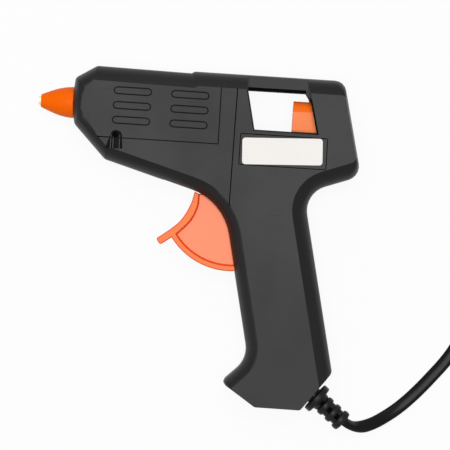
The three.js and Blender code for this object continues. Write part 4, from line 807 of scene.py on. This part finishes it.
def nozzle_sleeve():
    """The silicone sleeve: a full curve from its tucked-in end back to its seat in the case."""
    profile = list(SLEEVE_END)
    end, end_radius = SLEEVE_END[-1]
    growth = SLEEVE_SEAT[0][1] - end_radius
    for step in range(1, SLEEVE_CURVE_STEPS + 1):
        share = step / SLEEVE_CURVE_STEPS
        bulge = math.sin(share * math.pi / 2)
        widened = SLEEVE_CONE_SHARE * share + SLEEVE_BULGE_SHARE * bulge
        profile.append((end * (1 - share), end_radius + growth * widened))
    form = turned_form([*profile, *SLEEVE_SEAT, SLEEVE_END[0]], SLEEVE_STEPS)
    moved(form, Matrix.Translation(DESIGN_ORIGIN))
    return dressed("nozzle_sleeve", SILICONE, form=form, smooth=40, weighted=False)


shell("left_shell")
shell("right_shell")
dressed("rating_plate", LABEL, smooth=30)
trigger_skin()
feed_carriage_skin()
nozzle_sleeve()

# The spring is pressed against its seat in the case as the trigger is pulled
spring_piece = dressed("return_spring", STEEL, smooth=80)
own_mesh(spring_piece)


# Nodes that keep their shape and get a finish

FINISHES = {
    "nozzle_tip": BRASS, "melt_chamber": CAST, "heater_tablet": CERAMIC,
    "contact_plate_upper": SHEET, "contact_plate_lower": SHEET, "insulation_film": FILM,
    "heater_clip": STEEL, "stick_guide": GUIDE, "grip_plate": STEEL, "trigger_pin": STEEL,
    "cord_clamp": PALE_PLASTIC, "cord_in_handle": CORD,
    "lead_live": LIVE, "lead_neutral": NEUTRAL, "crimp_live": SHEET, "crimp_neutral": SHEET,
    "clamp_screw_rear": ZINC, "clamp_screw_front": ZINC,
}
for node, material in FINISHES.items():
    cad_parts[node].data.materials[0] = material
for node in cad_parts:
    if node.startswith("case_screw"):
        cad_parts[node].data.materials[0] = ZINC


# Floor, backdrop and light

WHITE = (1, 1, 1, 1)
FLOOR_COLOUR = (0.86, 0.86, 0.86, 1)
FLOOR_HALF_WIDTH = 3.0
FLOOR_GAP = 0.0002
BACKGROUND_SHARE = 0.92
WORLD_LIGHT = 0.18
LAMP_AIM = (0, 0, 0)


def background_rays(tree):
    """The rays that see the white background: the camera's, and those of gloss and glass."""
    rays = add(tree, "ShaderNodeLightPath")
    sight = rays.outputs["Is Camera Ray"]
    for kind in ("Is Glossy Ray", "Is Transmission Ray"):
        either = add(tree, "ShaderNodeMath", links={0: sight, 1: rays.outputs[kind]}, operation="MAXIMUM")
        sight = either.outputs["Value"]
    return sight


def studio_floor():
    """A pale floor that the background's rays see nearly white, so that it keeps a soft shadow."""
    form = bmesh.new()
    bmesh.ops.create_grid(form, x_segments=1, y_segments=1, size=FLOOR_HALF_WIDTH)
    mesh = bpy.data.meshes.new("studio_floor")
    form.to_mesh(mesh)
    form.free()
    floor = new_object("studio_floor", mesh)
    floor.location = (0, 0, -FLOOR_GAP)
    material = bpy.data.materials.new("studio_floor")
    tree = empty_tree(material)
    diffuse = add(tree, "ShaderNodeBsdfDiffuse", {"Color": FLOOR_COLOUR})
    white = add(tree, "ShaderNodeEmission", {"Color": WHITE})
    share = add(tree, "ShaderNodeMath", {1: BACKGROUND_SHARE}, {0: background_rays(tree)},
                operation="MULTIPLY")
    mix = add(tree, "ShaderNodeMixShader", links={
        "Fac": share.outputs["Value"], 1: diffuse.outputs["BSDF"], 2: white.outputs["Emission"]})
    add(tree, "ShaderNodeOutputMaterial", links={"Surface": mix.outputs["Shader"]})
    mesh.materials.append(material)


def studio_world():
    """White to the background's rays, and a weak even light to all others."""
    world = bpy.data.worlds.new("studio")
    tree = empty_tree(world)
    light = add(tree, "ShaderNodeBackground", {"Color": WHITE, "Strength": WORLD_LIGHT})
    seen = add(tree, "ShaderNodeBackground", {"Color": WHITE, "Strength": 1.0})
    mix = add(tree, "ShaderNodeMixShader", links={
        "Fac": background_rays(tree), 1: light.outputs["Background"], 2: seen.outputs["Background"]})
    add(tree, "ShaderNodeOutputWorld", links={"Surface": mix.outputs["Shader"]})
    bpy.context.scene.world = world


def soft_lamp(name, place, size, power):
    data = bpy.data.lights.new(name, "AREA")
    data.shape = "SQUARE"
    data.size = size
    data.energy = power
    lamp = new_object(name, data)
    lamp.location = place
    lamp.rotation_euler = (Vector(LAMP_AIM) - Vector(place)).to_track_quat("-Z", "Y").to_euler()


studio_floor()
studio_world()
soft_lamp("softbox_above", (0.0, 0.1, 1.2), size=0.7, power=11.0)
soft_lamp("softbox_behind", (-0.2, 0.9, 0.6), size=0.6, power=1.2)
soft_lamp("softbox_left", (-0.9, -0.2, 0.6), size=0.6, power=0.8)

bpy.context.scene.view_settings.view_transform = "Standard"
